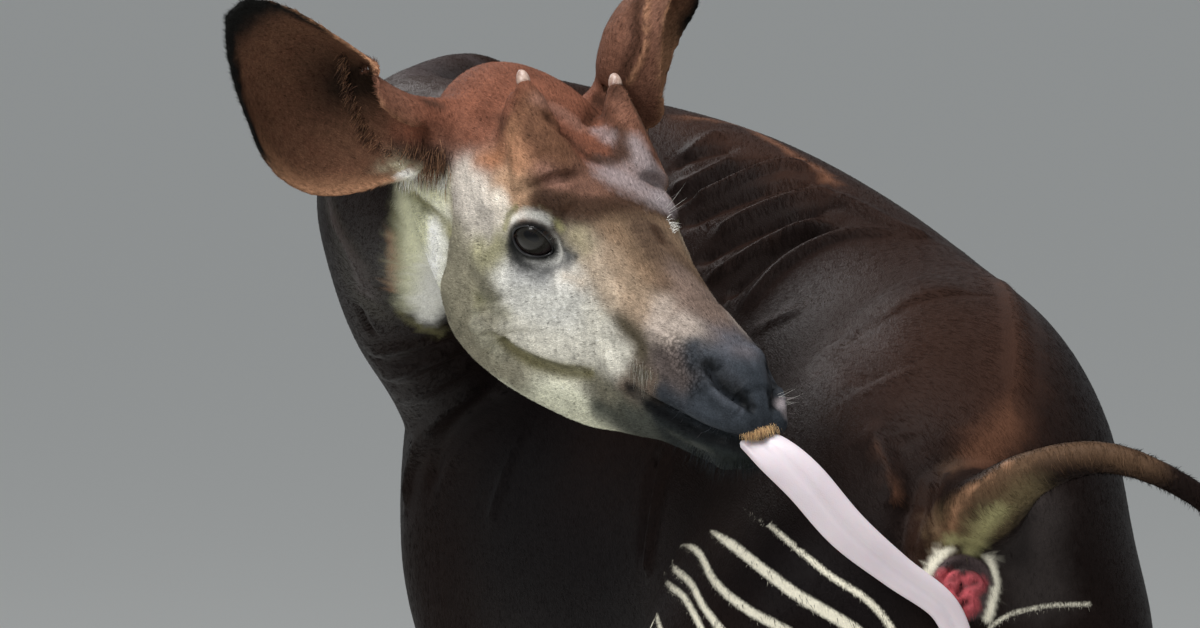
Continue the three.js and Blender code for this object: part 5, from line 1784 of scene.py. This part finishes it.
def eye_material():
    """Dark brown eye with a sideways pupil under a clear wet surface."""
    material = plain_material("eye", linear(24, 18, 16), 0.2, Coat_Weight=0.1, Coat_Roughness=0.08)
    tree, shader = shaders_of(material)
    shader.inputs["Specular IOR Level"].default_value = 0.25
    radius, slit, _ = channels(tree, stored(tree, "iris"))
    spokes = grain(tree, object_place(tree), (700, 700, 700), 3.0)
    iris = mixed(tree, spokes, linear(34, 30, 24), linear(16, 16, 14))
    white = mixed(tree, step(tree, 0.70, 0.80, radius), iris, linear(40, 32, 32))
    dark = mixed(tree, step(tree, 1.0, 0.8, slit), white, linear(4, 4, 6))
    tree.links.new(dark, shader.inputs["Base Color"])
    return material


def horn_material():
    """Bare polished tip of horn, pinkish and worn."""
    material = plain_material("horn", linear(170, 140, 128), 0.42, Coat_Weight=0.2, Coat_Roughness=0.3)
    tree, shader = shaders_of(material)
    place = object_place(tree)
    mottled = grain(tree, place, (90, 90, 90), 4.0, 0.65)
    worn = grain(tree, place, (500, 500, 120), 3.0)
    tone = mixed(tree, step(tree, 0.4, 0.7, mottled), linear(176, 152, 138), linear(120, 90, 78))
    tone = mixed(tree, step(tree, 0.55, 0.8, worn), tone, linear(120, 88, 78))
    tree.links.new(tone, shader.inputs["Base Color"])
    bumped(tree, shader, worn, 0.4, 0.0008)
    return material


def hoof_material():
    """Dark hoof horn with growth rings and dry scuffs."""
    material = plain_material("hoof", linear(44, 38, 35), 0.5)
    tree, shader = shaders_of(material)
    place = object_place(tree)
    rings = grain(tree, place, (25, 25, 420), 2.0)
    fibres = grain(tree, place, (600, 600, 60), 3.0)
    tone = mixed(tree, rings, linear(34, 29, 27), linear(70, 60, 53))
    tone = mixed(tree, step(tree, 0.5, 0.75, fibres), tone, linear(96, 86, 76))
    tree.links.new(tone, shader.inputs["Base Color"])
    tree.links.new(plus(tree, 0.36, times(tree, fibres, 0.3)), shader.inputs["Roughness"])
    lift = plus(tree, rings, times(tree, fibres, 0.5))
    bumped(tree, shader, lift, 0.5, 0.001)
    return material


def tongue_material():
    """Moist lavender-pink tongue with fine buds."""
    material = plain_material("tongue", linear(214, 196, 206), 0.4, Coat_Weight=0.35, Coat_Roughness=0.25)
    tree, shader = shaders_of(material)
    shader.inputs["Subsurface Weight"].default_value = 0.15
    shader.inputs["Subsurface Scale"].default_value = 0.01
    place = object_place(tree)
    soft = grain(tree, place, (28, 28, 28), 3.0)
    fine = grain(tree, place, (900, 900, 900), 2.0)
    tone = mixed(tree, soft, linear(214, 204, 208), linear(198, 184, 191))
    tree.links.new(tone, shader.inputs["Base Color"])
    buds = add(tree, "ShaderNodeTexVoronoi", Vector=place, Scale=900.0)
    lift = plus(tree, buds.outputs["Distance"], fine)
    bumped(tree, shader, lift, 0.25, 0.0006)
    return material


def hair_material(name, roughness=0.45, shine=0.08):
    """Hair whose colour each strand carries."""
    material = plain_material(name, (0.1, 0.1, 0.1, 1), roughness)
    tree, shader = shaders_of(material)
    shader.inputs["Specular IOR Level"].default_value = shine
    tree.links.new(stored(tree, "paint"), shader.inputs["Base Color"])
    return material


def put_colour(mesh, name, values):
    """Stores a colour for every point."""
    layer = mesh.color_attributes.new(name, "FLOAT_COLOR", "POINT")
    full = np.ones((len(mesh.vertices), 4), np.float32)
    full[:, :3] = values
    layer.data.foreach_set("color", full.ravel())


# Sizes and colours that a user would change

class OkapiSizes(bpy.types.PropertyGroup):
    """Grids and face count of the skin"""
    rough_voxel: bpy.props.FloatProperty(
        name="Rough voxel", description="Grid on which the solids fuse", default=8 * MM, unit="LENGTH")
    fine_voxel: bpy.props.FloatProperty(
        name="Fine voxel", description="Grid of the finished skin", default=3 * MM, unit="LENGTH")
    triangles: bpy.props.IntProperty(
        name="Triangles", description="Faces kept in the skin before its finest parts", default=156000)


class OKAPI_OT_skin(bpy.types.Operator):
    """Make the skin of the whole body"""
    bl_idname = "okapi.skin"
    bl_label = "Skin"

    def execute(self, context):
        mesh, body_tree = shaped_skin(context.scene.okapi_sizes)
        skin, head_tree, label = sculpted(mesh, body_tree)
        tone = painted(skin, body_tree, head_tree, label)
        stripe, band, bare = marked(skin, body_tree, label)
        upright = eased(1.15, 0.95, skin.co[:, 2]) * (label < 0.5)
        near, gap, _ = skin.near(seen_on(head_tree, PEBBLE_PATH, 4), 40, True)
        pebbles = np.zeros(len(skin.co))
        pebbles[near] = 1 - eased(5, 24, gap)
        put_colour(skin.mesh, "paint", tone)
        put_colour(skin.mesh, "marks", np.column_stack([stripe, band, bare]))
        put_colour(skin.mesh, "lie", np.column_stack([label, upright, pebbles]))
        skin.mesh.shade_smooth()
        BODY_TREE.append(body_tree)
        HEAD_TREE.append(head_tree)
        piece = piece_from(skin.mesh, "skin", coat_material())
        covered = FLESH_NODES + LOWER_LEG_NODES
        covered += ["ear_left", "ear_right", "horn_left", "horn_right", "tail"]
        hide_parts(*covered)
        return {"FINISHED"}


def eyeball(side):
    """Mesh of one eye, a little bulged at the front, that carries the measures of iris and pupil."""
    centre, ahead, up, out = eye_axes(side)
    work = bmesh.new()
    bmesh.ops.create_uvsphere(work, u_segments=64, v_segments=40, radius=EYE_RADIUS)
    mesh = bpy.data.meshes.new("eye")
    work.to_mesh(mesh)
    work.free()
    co = places_of(mesh)
    front = co[:, 2] > 0
    radius = np.where(front, np.hypot(co[:, 0], co[:, 1]) / EYE_RADIUS, 1.2)
    bulge = 1 + 0.035 * front * (1 - eased(0.3, 0.75, radius))
    slit = np.where(front, np.hypot(co[:, 0] / PUPIL_REACH[0], co[:, 1] / PUPIL_REACH[1]) / MM, 2.0)
    axes = np.array([ahead, up, out])
    put_places(mesh, on_head((co * bulge[:, None] / MM) @ axes + centre))
    put_colour(mesh, "iris", np.column_stack([radius, slit, slit]))
    if np.linalg.det(axes) < 0:
        mesh.flip_normals()
    mesh.shade_smooth()
    return mesh


def lid_edge(side, points_around=96, sides=10):
    """Points and faces of the round edge of one eye's lids."""
    centre, ahead, up, out = eye_axes(side)
    angle = np.linspace(0, 2 * np.pi, points_around, endpoint=False)
    c, s = np.cos(angle), np.sin(angle)
    reach = 1 / lid_measure(c, s - LID_DROP)
    u, v = c * reach, s * reach - LID_DROP
    line = np.stack([u, v, np.sqrt(LID_RADIUS**2 - u**2 - v**2) - 1.0], 1)
    along = unit(np.roll(line, -1, 0) - np.roll(line, 1, 0))
    outward = unit(line)
    across = np.cross(along, outward)
    turn = np.linspace(0, 2 * np.pi, sides, endpoint=False)
    loops = np.array([line + LID_EDGE_RADIUS * (np.cos(a) * across + np.sin(a) * outward) for a in turn])
    points = on_head((loops.transpose(1, 0, 2) @ np.array([ahead, up, out]) + centre).reshape(-1, 3))
    faces = []
    for i in range(points_around):
        row, following = i * sides, (i + 1) % points_around * sides
        for k in range(sides):
            n = (k + 1) % sides
            faces.append([row + k, row + n, following + n, following + k])
    return points, faces


class OKAPI_OT_eyes(bpy.types.Operator):
    """Make the eyes and the dark edges of their lids"""
    bl_idname = "okapi.eyes"
    bl_label = "Eyes"

    def execute(self, context):
        material = eye_material()
        for side, name in ((1, "left"), (-1, "right")):
            piece = piece_from(eyeball(side), f"eyeball_{name}", material)
            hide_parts(f"eye_{name}")
        points, faces = lid_edge(1)
        more_points, more_faces = lid_edge(-1)
        faces += [[len(points) + i for i in face] for face in more_faces]
        mesh = mesh_from("lid_edges", np.vstack([points, more_points]), faces)
        piece_from(mesh, "lid_edges", plain_material("wet skin", linear(20, 19, 21), 0.3))
        return {"FINISHED"}


class OKAPI_OT_horns(bpy.types.Operator):
    """Make the bare tips of the horns"""
    bl_idname = "okapi.horns"
    bl_label = "Horn tips"

    def execute(self, context):
        material = horn_material()
        for side, name in ((1, "left"), (-1, "right")):
            points, faces = horn_shape(side, HORN_FOOT, HORN_TIP, TIP_ROWS)
            piece = piece_from(mesh_from("tip", points, faces), f"bare_horn_{name}", material)
            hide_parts(f"horn_tip_{name}")
        return {"FINISHED"}


class OKAPI_OT_tongue(bpy.types.Operator):
    """Make the long tongue"""
    bl_idname = "okapi.tongue"
    bl_label = "Tongue"

    def execute(self, context):
        rings = loft_along(TONGUE_ROWS, 150, 56, 2.6, 2.2)
        at = table_at(TONGUE_ROWS, np.linspace(0, 10, 150))
        up = unit(at[:, 6:9])
        middle = rings.mean(1, keepdims=True)
        rel = rings - middle
        lift = (rel * up[:, None, :]).sum(-1)
        side = rel - lift[..., None] * up[:, None, :]
        across = np.linalg.norm(side, axis=-1)
        dip = 1.7 * np.exp(-((across / 3.2) ** 2)) * (lift > 0) * eased(0, 14, at[:, 4])[:, None]
        rings = rings - dip[..., None] * up[:, None, :]
        points, faces = closed_skin(rings)
        mesh = mesh_from("tongue", on_head(points), faces)
        piece = piece_from(mesh, "long_tongue", tongue_material())
        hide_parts("tongue")
        return {"FINISHED"}


class OKAPI_OT_hooves(bpy.types.Operator):
    """Make the eight hooves"""
    bl_idname = "okapi.hooves"
    bl_label = "Hooves"

    def execute(self, context):
        material = hoof_material()
        for name in [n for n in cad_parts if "_hoof_" in n]:
            points, faces = solid_copy(name, 0)
            mesh = with_modifier(mesh_from("hoof", points, faces), "SUBSURF", levels=2, render_levels=2)
            co = places_of(mesh)
            low = points[:, 2].min()
            co[:, 2] = np.maximum(co[:, 2], low)
            sole = co[:, 2] < low + 3 * MM
            co[sole, 2] = low
            put_places(mesh, co)
            mesh.shade_smooth()
            piece = piece_from(mesh, f"claw_{name}", material)
            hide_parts(name)
        return {"FINISHED"}


def strands(name, roots, paths, radii, tones, share, sides=3):
    """Joined tapered strands. Each has a root, a path of offsets from it, a radius and a colour."""
    count, steps = paths.shape[:2]
    line = roots[:, None, :] + paths
    along = unit(np.gradient(line, axis=1))
    helper = np.where(np.abs(along[..., 2:3]) < 0.9, (0.0, 0.0, 1.0), (1.0, 0.0, 0.0))
    side = unit(np.cross(along, helper))
    other = np.cross(along, side)
    taper = (1 - np.linspace(0, 1, steps) ** 1.5 * 0.92)[None, :, None] * radii[:, None, None]
    turn = 2 * np.pi * np.arange(sides) / sides
    rings = [line + taper * (np.cos(a) * side + np.sin(a) * other) for a in turn]
    points = np.stack(rings, 2).reshape(-1, 3)
    base = (np.arange(count) * steps * sides)[:, None, None]
    row = (np.arange(steps - 1) * sides)[None, :, None]
    k = np.arange(sides)[None, None, :]
    a, b = base + row + k, base + row + (k + 1) % sides
    walls = np.concatenate([np.stack([a, b, b + sides], -1), np.stack([a, b + sides, a + sides], -1)])
    first = base[:, 0, 0]
    last = first + (steps - 1) * sides
    foot, tip = np.stack([first + 2, first + 1, first], -1), np.stack([last, last + 1, last + 2], -1)
    ends = np.concatenate([foot, tip])
    corners = np.concatenate([walls.reshape(-1), ends.reshape(-1)])
    mesh = joined_mesh(name, points, corners, 3)
    put_colour(mesh, "paint", np.repeat(tones, steps * sides, axis=0))
    mesh.shade_smooth()
    lay_patches(mesh, np.repeat(skin_unwrap(roots, np.full(count, share)), steps * sides, axis=0))
    return mesh


def fringe_roots(tree, seed, both, pixels, width, number, length, names, lean):
    """Roots, directions, colours and lengths of hairs along a path on the skin of the head."""
    path = seen_on(tree, pixels, 4)
    draw = np.random.default_rng(seed)
    along = draw.uniform(0, len(path) - 1, number)
    whole = np.minimum(along.astype(int), len(path) - 2)
    spot = path[whole] + (path[whole + 1] - path[whole]) * (along - whole)[:, None]
    spot = spot + draw.normal(scale=width * MM / 2, size=(number, 3))
    found = [tree.find_nearest(Vector(p)) for p in spot]
    roots = np.array([f[0] for f in found])
    normal = np.array([f[1] for f in found])
    guide = hair_guide(roots, np.ones(number))
    follow, out, down = lean
    way = guide * follow + normal * out + np.array((0, 0, -down))
    way = unit(way + draw.normal(scale=0.22, size=(number, 3)))
    tones = np.array([colour(n) for n in names])[draw.integers(0, len(names), number)]
    if both:
        flip = np.diag((1.0, -1.0, 1.0))
        roots = np.vstack([roots, on_head(in_head(roots) @ flip)])
        way = np.vstack([way, way @ HEAD_TURN @ flip @ HEAD_TURN.T])
        tones = np.vstack([tones, tones])
    tones = tones * draw.uniform(0.75, 1.25, (len(roots), 1))
    return roots - way * 1.5 * MM, way, tones, np.full(len(roots), length * MM), draw


def fringe(tree, seed, both, pixels, width, number, length, names, radius, lean):
    """Long hairs along a path on the skin of the head."""
    found = fringe_roots(tree, seed, both, pixels, width, number, length, names, lean)
    roots, way, tones, long, draw = found
    long = long * draw.uniform(0.55, 1.2, len(roots))
    t = np.linspace(0, 1, 5)[None, :, None]
    sag = np.array((0, 0, -0.35)) * t**2
    paths = (way[:, None, :] * t + sag) * long[:, None, None]
    return roots, paths, radius * draw.uniform(0.6, 1.2, len(roots)) * MM, tones


# Long hairs. Columns: both sides, pixels, width of the strip, number, length, colours, radius,
# and how far they follow the coat, stand off the skin and hang
FRINGES = {
    "mouth": (False, [(743, 431), (758, 429), (777, 422)], 3.5, 520, 8,
              ("orange", "orange", "tan"), 0.3, (0, 0.4, 1.0)),
    "chin": (True, [(690, 448), (716, 459), (744, 462)], 14, 260, 13,
             ("black", "chin", "slate"), 0.22, (0.3, 0.5, 0.7)),
    "mouth corner": (True, [(633, 366), (644, 371), (656, 378)], 7, 300, 12,
                     ("cheek front", "lip side", "jaw"), 0.16, (-0.15, 0.12, 1.0)),
    "ear rim": (False, [(344, 54), (348, 82), (355, 110), (368, 136), (392, 158)], 5, 520, 11,
                ("tan", "ear deep", "ear back"), 0.28, (0.5, 0.3, 0.5)),
    "ear root": (False, [(402, 150), (420, 158), (440, 160)], 14, 600, 18,
                 ("crown dark", "crown dark", "tan"), 0.3, (0.1, 0.2, 1.0)),
    "ear root white": (False, [(402, 170), (420, 175), (442, 180)], 8, 420, 15,
                       ("white", "white", "green white"), 0.3, (0.0, 0.3, 1.0)),
    "jaw": (True, [(470, 352), (500, 374), (536, 396), (580, 412)], 8, 300, 6,
            ("jaw light", "cheek", "jaw"), 0.22, (0.8, 0.15, 0.2)),
    "upper lid": (True, [(514, 236), (521, 230), (533, 227), (546, 231), (556, 241)], 1, 80, 7,
                  ("black", "brow"), 0.22, (0.1, 0.9, 0.35)),
    "far lashes": (False, [(668, 220), (671, 227), (674, 234)], 3, 36, 11,
                   ("white", "cheek"), 0.25, (0.3, 0.9, 0.35)),
}
# Single bristles, in the same columns without a radius
BRISTLES = {
    "lower lip": (True, [(666, 428), (690, 440), (716, 449)], 10, 40, 12,
                  ("chin", "jaw dark", "nose"), (-0.2, 0.8, 0.6)),
    "upper lip": (True, [(672, 404), (700, 418), (726, 426)], 12, 46, 11,
                  ("slate light", "nose"), (-0.3, 0.9, 0.4)),
    # The far brow and far lip bristles are partly coloured with the painted lilac sheen
    "far brow": (False, [(667, 184), (670, 196), (672, 208)], 3, 5, 27,
                 ("cheek", "lilac sheen"), (-0.2, 1.0, -0.1)),
    "far lip": (False, [(778, 392), (784, 404), (786, 414)], 3, 14, 17,
                ("cheek", "lilac sheen"), (-0.4, 1.0, 0)),
    "near brow": (False, [(548, 200), (566, 206)], 6, 8, 16, ("chin", "black"), (-0.5, 1.0, -0.1)),
}


def bristle_tree():
    """Nodes that grow a bent, tapered bristle on every point, along its own direction."""
    name = "bristles"
    if name in bpy.data.node_groups:
        return bpy.data.node_groups[name]
    tree = bpy.data.node_groups.new(name, "GeometryNodeTree")
    tree.interface.new_socket("Points", in_out="INPUT", socket_type="NodeSocketGeometry")
    inputs = (
        ("Slenderness", "Float", 0.011), ("Bend", "Float", 0.22), ("Rings", "Int", 5),
        ("Sides", "Int", 3),
        ("Shortest", "Float", 0.6), ("Longest", "Float", 1.2), ("Seed", "Int", 7),
        ("Material", "Material", None),
    )
    for title, kind, value in inputs:
        socket = tree.interface.new_socket(title, in_out="INPUT", socket_type="NodeSocket" + kind)
        if value is not None:
            socket.default_value = value
    tree.interface.new_socket("Bristles", in_out="OUTPUT", socket_type="NodeSocketGeometry")
    entry, leave = tree.nodes.new("NodeGroupInput"), tree.nodes.new("NodeGroupOutput")
    given = entry.outputs
    end = add(tree, "ShaderNodeCombineXYZ", X=given["Bend"], Z=1.0)
    line = add(tree, "GeometryNodeCurveQuadraticBezier", Resolution=given["Rings"], End=end.outputs[0])
    line.inputs["Start"].default_value = (0, 0, 0)
    line.inputs["Middle"].default_value = (0, 0, 0.5)
    along = tree.nodes.new("GeometryNodeSplineParameter").outputs["Factor"]
    taper = minus(tree, 1.0, times(tree, along, 0.9))
    thinned = add(tree, "GeometryNodeSetCurveRadius", Curve=line.outputs[0], Radius=taper)
    ring = add(tree, "GeometryNodeCurvePrimitiveCircle", Resolution=given["Sides"],
               Radius=given["Slenderness"])
    bristle = add(tree, "GeometryNodeCurveToMesh", Curve=thinned.outputs[0],
                  Profile_Curve=ring.outputs[0], Fill_Caps=True)
    if "Scale" in bristle.inputs:
        tree.links.new(taper, bristle.inputs["Scale"])
    named = "GeometryNodeInputNamedAttribute"
    way = add(tree, named, {"data_type": "FLOAT_VECTOR"}, Name="way").outputs["Attribute"]
    turn = add(tree, "FunctionNodeAlignRotationToVector", {"axis": "Z"}, Vector=way)
    size = add(tree, named, {"data_type": "FLOAT"}, Name="size").outputs["Attribute"]
    chance = tree.nodes.new("FunctionNodeRandomValue")
    tree.links.new(given["Shortest"], chance.inputs[2])
    tree.links.new(given["Longest"], chance.inputs[3])
    tree.links.new(given["Seed"], chance.inputs["Seed"])
    scale = times(tree, size, chance.outputs[1])
    grown = add(tree, "GeometryNodeInstanceOnPoints", Points=given["Points"], Instance=bristle.outputs[0],
                Rotation=turn.outputs[0], Scale=scale)
    joined = add(tree, "GeometryNodeRealizeInstances", Geometry=grown.outputs[0])
    dressed = add(tree, "GeometryNodeSetMaterial", Geometry=joined.outputs[0], Material=given["Material"])
    tree.links.new(dressed.outputs[0], leave.inputs["Bristles"])
    return tree


def with_nodes(mesh, tree, **inputs):
    """The mesh after a tree of geometry nodes, whose inputs are given by name."""
    stand = bpy.data.objects.new("stand", mesh)
    bpy.context.scene.collection.objects.link(stand)
    modifier = stand.modifiers.new("grow", "NODES")
    modifier.node_group = tree
    for item in tree.interface.items_tree:
        if item.in_out == "INPUT" and item.name in inputs:
            modifier[item.identifier] = inputs[item.name]
    result = bpy.data.meshes.new_from_object(stand.evaluated_get(bpy.context.evaluated_depsgraph_get()))
    stand.modifiers.remove(modifier)
    bpy.data.objects.remove(stand)
    return result


def coat_regions(ground):
    """Density of short hair on face, ears, haunch and trunk, for every point of the skin."""
    local, head = in_head(ground.co), ground.share
    bare = ground.marks[:, 2]
    eye_gap = np.linalg.norm(folded(ground.co) - eye_centre(-1), axis=1)
    pebbled = ground.read("lie")[:, 2]
    furry = (1 - bare) * eased(28, 36, eye_gap) ** 0.5 * (1 - 0.85 * pebbled)
    ears = head * ((np.abs(local[:, 1]) > 112) | (local[:, 2] > 125))
    z = ground.co[:, 2]
    haunch = (1 - head) * (ground.co[:, 0] < HIPS_AT[0] + 0.08) * eased(0.8, 0.85, z) * eased(1.24, 1.18, z)
    trunk = (1 - head) * (1 - 0.85 * haunch) * eased(0.05, 0.09, z)
    return {"face": head * (1 - ears) * furry, "ears": ears, "haunch": haunch, "trunk": trunk}


class OKAPI_OT_coat(bpy.types.Operator):
    """Grow the short coat of the head, trunk and haunches"""
    bl_idname = "okapi.coat"
    bl_label = "Coat"

    def execute(self, context):
        ground = Ground(bpy.data.objects["skin"].data)
        material = hair_material("short hair", 0.7, 0.02)
        regions = coat_regions(ground)
        for name, region, count, length, width, lift, slot, seed in COAT_PLANS:
            roots = ground.scatter(regions[region], count, seed)
            if region == "haunch":
                stripe = striped(roots["co"], BODY_TREE[0])
                stripe = stripe + roots["draw"].normal(scale=0.5, size=count)
                white = eased(-0.6, 0.6, stripe)[:, None]
                roots["tone"] = roots["tone"] * (1 - white) + colour("cream") * white
            piece_from(short_coat(name, roots, length, width, lift), name, material)
        return {"FINISHED"}


class OKAPI_OT_fringes(bpy.types.Operator):
    """Grow the long hairs of the head: ear roots, jaw, lips and chin"""
    bl_idname = "okapi.fringes"
    bl_label = "Fringes"

    def execute(self, context):
        tree = HEAD_TREE[0]
        parts = [fringe(tree, 40 + k, *row) for k, row in enumerate(FRINGES.values())]
        roots, paths, radii, tones = (np.concatenate([p[i] for p in parts]) for i in range(4))
        mesh = strands("head_fringes", roots, paths, radii, tones, 1.0)
        piece_from(mesh, "head_fringes", hair_material("long hair", 0.5))
        return {"FINISHED"}


class OKAPI_OT_bristles(bpy.types.Operator):
    """Grow the single bristles of lips, chin and brows with geometry nodes"""
    bl_idname = "okapi.bristles"
    bl_label = "Bristles"

    def execute(self, context):
        parts = [fringe_roots(HEAD_TREE[0], 80 + k, *row) for k, row in enumerate(BRISTLES.values())]
        roots, way, tones, size = (np.concatenate([p[i] for p in parts]) for i in range(4))
        seeds = bpy.data.meshes.new("seeds")
        seeds.from_pydata(roots.tolist(), [], [])
        for name, values in (("way", way), ("root", roots)):
            layer = seeds.attributes.new(name, "FLOAT_VECTOR", "POINT")
            layer.data.foreach_set("vector", values.astype(np.float32).ravel())
        layer = seeds.attributes.new("size", "FLOAT", "POINT")
        layer.data.foreach_set("value", size.astype(np.float32))
        put_colour(seeds, "paint", tones)
        material = hair_material("bristle", 0.4)
        mesh = with_nodes(seeds, bristle_tree(), Material=material, Seed=7)
        foot = np.empty(len(mesh.vertices) * 3, np.float32)
        mesh.attributes["root"].data.foreach_get("vector", foot)
        lay_patches(mesh, skin_unwrap(foot.reshape(-1, 3).astype(float), np.ones(len(mesh.vertices))))
        mesh.shade_smooth()
        piece_from(mesh, "bristles", material)
        return {"FINISHED"}


class OKAPI_OT_tail_tuft(bpy.types.Operator):
    """Make the tuft at the end of the tail"""
    bl_idname = "okapi.tail_tuft"
    bl_label = "Tail tuft"

    def execute(self, context):
        end, before = on_body([TAIL_ROWS[-1][1:4], TAIL_ROWS[-2][1:4]])
        down = unit(end - before)
        side = unit(np.cross(down, (1.0, 0.0, 0.0)))
        other = np.cross(down, side)
        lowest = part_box("tail_tuft")[0].z
        deep = (lowest - end[2]) / down[2]
        draw = np.random.default_rng(11)
        count = TUFT_HAIRS
        turn = draw.uniform(0, 2 * np.pi, count)
        out = np.sqrt(draw.uniform(0, 1, count))
        ring = np.cos(turn)[:, None] * side + np.sin(turn)[:, None] * other
        up = draw.uniform(-0.03, 0.24, count) * deep
        roots = end + ring * (out * 10 * MM)[:, None] - down * up[:, None]
        length = deep * draw.uniform(0.55, 0.98, count)
        length = np.minimum(length, (lowest - roots[:, 2]) / down[2])
        t = np.linspace(0, 1, TUFT_STEPS)[None, :, None]
        bulge = np.sin(np.clip(t * 2.4, 0, np.pi)) * 14 * MM + t * 5 * MM * draw.normal(size=(count, 1, 1))
        paths = ring[:, None, :] * bulge * out[:, None, None] + t * down * length[:, None, None]
        tones = np.array([colour("black"), colour("body"), colour("back")])[draw.integers(0, 3, count)]
        mesh = strands("tail_hair", roots, paths, draw.uniform(0.5, 0.9, count) * MM, tones, 0.0)
        piece = piece_from(mesh, "tail_hair", hair_material("tail hair"))
        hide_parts("tail_tuft")
        return {"FINISHED"}


class OKAPI_OT_stage(bpy.types.Operator):
    """Set the floor, the lights and the camera"""
    bl_idname = "okapi.stage"
    bl_label = "Stage"

    def execute(self, context):
        floor = bpy.data.meshes.new("floor")
        corners = [(x * FLOOR_REACH, y * FLOOR_REACH, 0) for x, y in ((-1, -1), (1, -1), (1, 1), (-1, 1))]
        floor.from_pydata(corners, [], [(0, 1, 2, 3)])
        ground = bpy.data.objects.new("floor", floor)
        floor.materials.append(plain_material("floor", linear(238, 237, 232), 0.9))
        context.scene.collection.objects.link(ground)
        lens = bpy.data.cameras.new("camera")
        lens.lens = FOCUS_PX / PICTURE_WIDTH * SENSOR_MM
        lens.sensor_width = SENSOR_MM
        lens.clip_end = 1000
        camera = bpy.data.objects.new("camera", lens)
        axes = np.column_stack([RIGHTWARDS, UPWARDS, -LOOKING])
        camera.matrix_world = Matrix.LocRotScale(Vector(CAMERA_AT), Matrix(axes.tolist()), None)
        context.scene.collection.objects.link(camera)
        context.scene.camera = camera
        for name, place, size, power in LAMPS:
            lamp = bpy.data.lights.new(name, "AREA")
            lamp.size = size
            lamp.energy = power
            light = bpy.data.objects.new(name, lamp)
            light.location = Vector(place)
            aim = Vector(LAMPS_AIM) - light.location
            light.rotation_euler = aim.to_track_quat("-Z", "Y").to_euler()
            context.scene.collection.objects.link(light)
        world = bpy.data.worlds.new("studio")
        world.use_nodes = True
        sky = world.node_tree.nodes["Background"]
        sky.inputs["Color"].default_value = SKY
        sky.inputs["Strength"].default_value = SKY_STRENGTH
        context.scene.world = world
        context.scene.view_settings.view_transform = "Standard"
        return {"FINISHED"}


class OKAPI_PT_panel(bpy.types.Panel):
    """Sizes and steps of the okapi"""
    bl_idname = "OKAPI_PT_panel"
    bl_label = "Okapi"
    bl_space_type = "VIEW_3D"
    bl_region_type = "UI"
    bl_category = "Okapi"

    def draw(self, context):
        sizes = context.scene.okapi_sizes
        for name in sizes.__annotations__:
            self.layout.prop(sizes, name)
        for step_class in STEPS:
            self.layout.operator(step_class.bl_idname)


STEPS = (OKAPI_OT_skin, OKAPI_OT_eyes, OKAPI_OT_horns, OKAPI_OT_tongue, OKAPI_OT_hooves, OKAPI_OT_tail_tuft,
         OKAPI_OT_coat, OKAPI_OT_fringes, OKAPI_OT_bristles, OKAPI_OT_stage)
CLASSES = (OkapiSizes, *STEPS, OKAPI_PT_panel)


def register():
    """Adds the okapi's sizes, steps and panel."""
    for item in CLASSES:
        bpy.utils.register_class(item)
    bpy.types.Scene.okapi_sizes = bpy.props.PointerProperty(type=OkapiSizes)


def unregister():
    """Takes them out again."""
    del bpy.types.Scene.okapi_sizes
    for item in reversed(CLASSES):
        bpy.utils.unregister_class(item)


def main():
    """Builds the okapi step by step."""
    register()
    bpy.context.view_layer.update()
    bpy.ops.okapi.skin()
    bpy.ops.okapi.eyes()
    bpy.ops.okapi.horns()
    bpy.ops.okapi.tongue()
    bpy.ops.okapi.hooves()
    bpy.ops.okapi.tail_tuft()
    bpy.ops.okapi.coat()
    bpy.ops.okapi.fringes()
    bpy.ops.okapi.bristles()
    bpy.ops.okapi.stage()


if __name__ == "__main__":
    main()
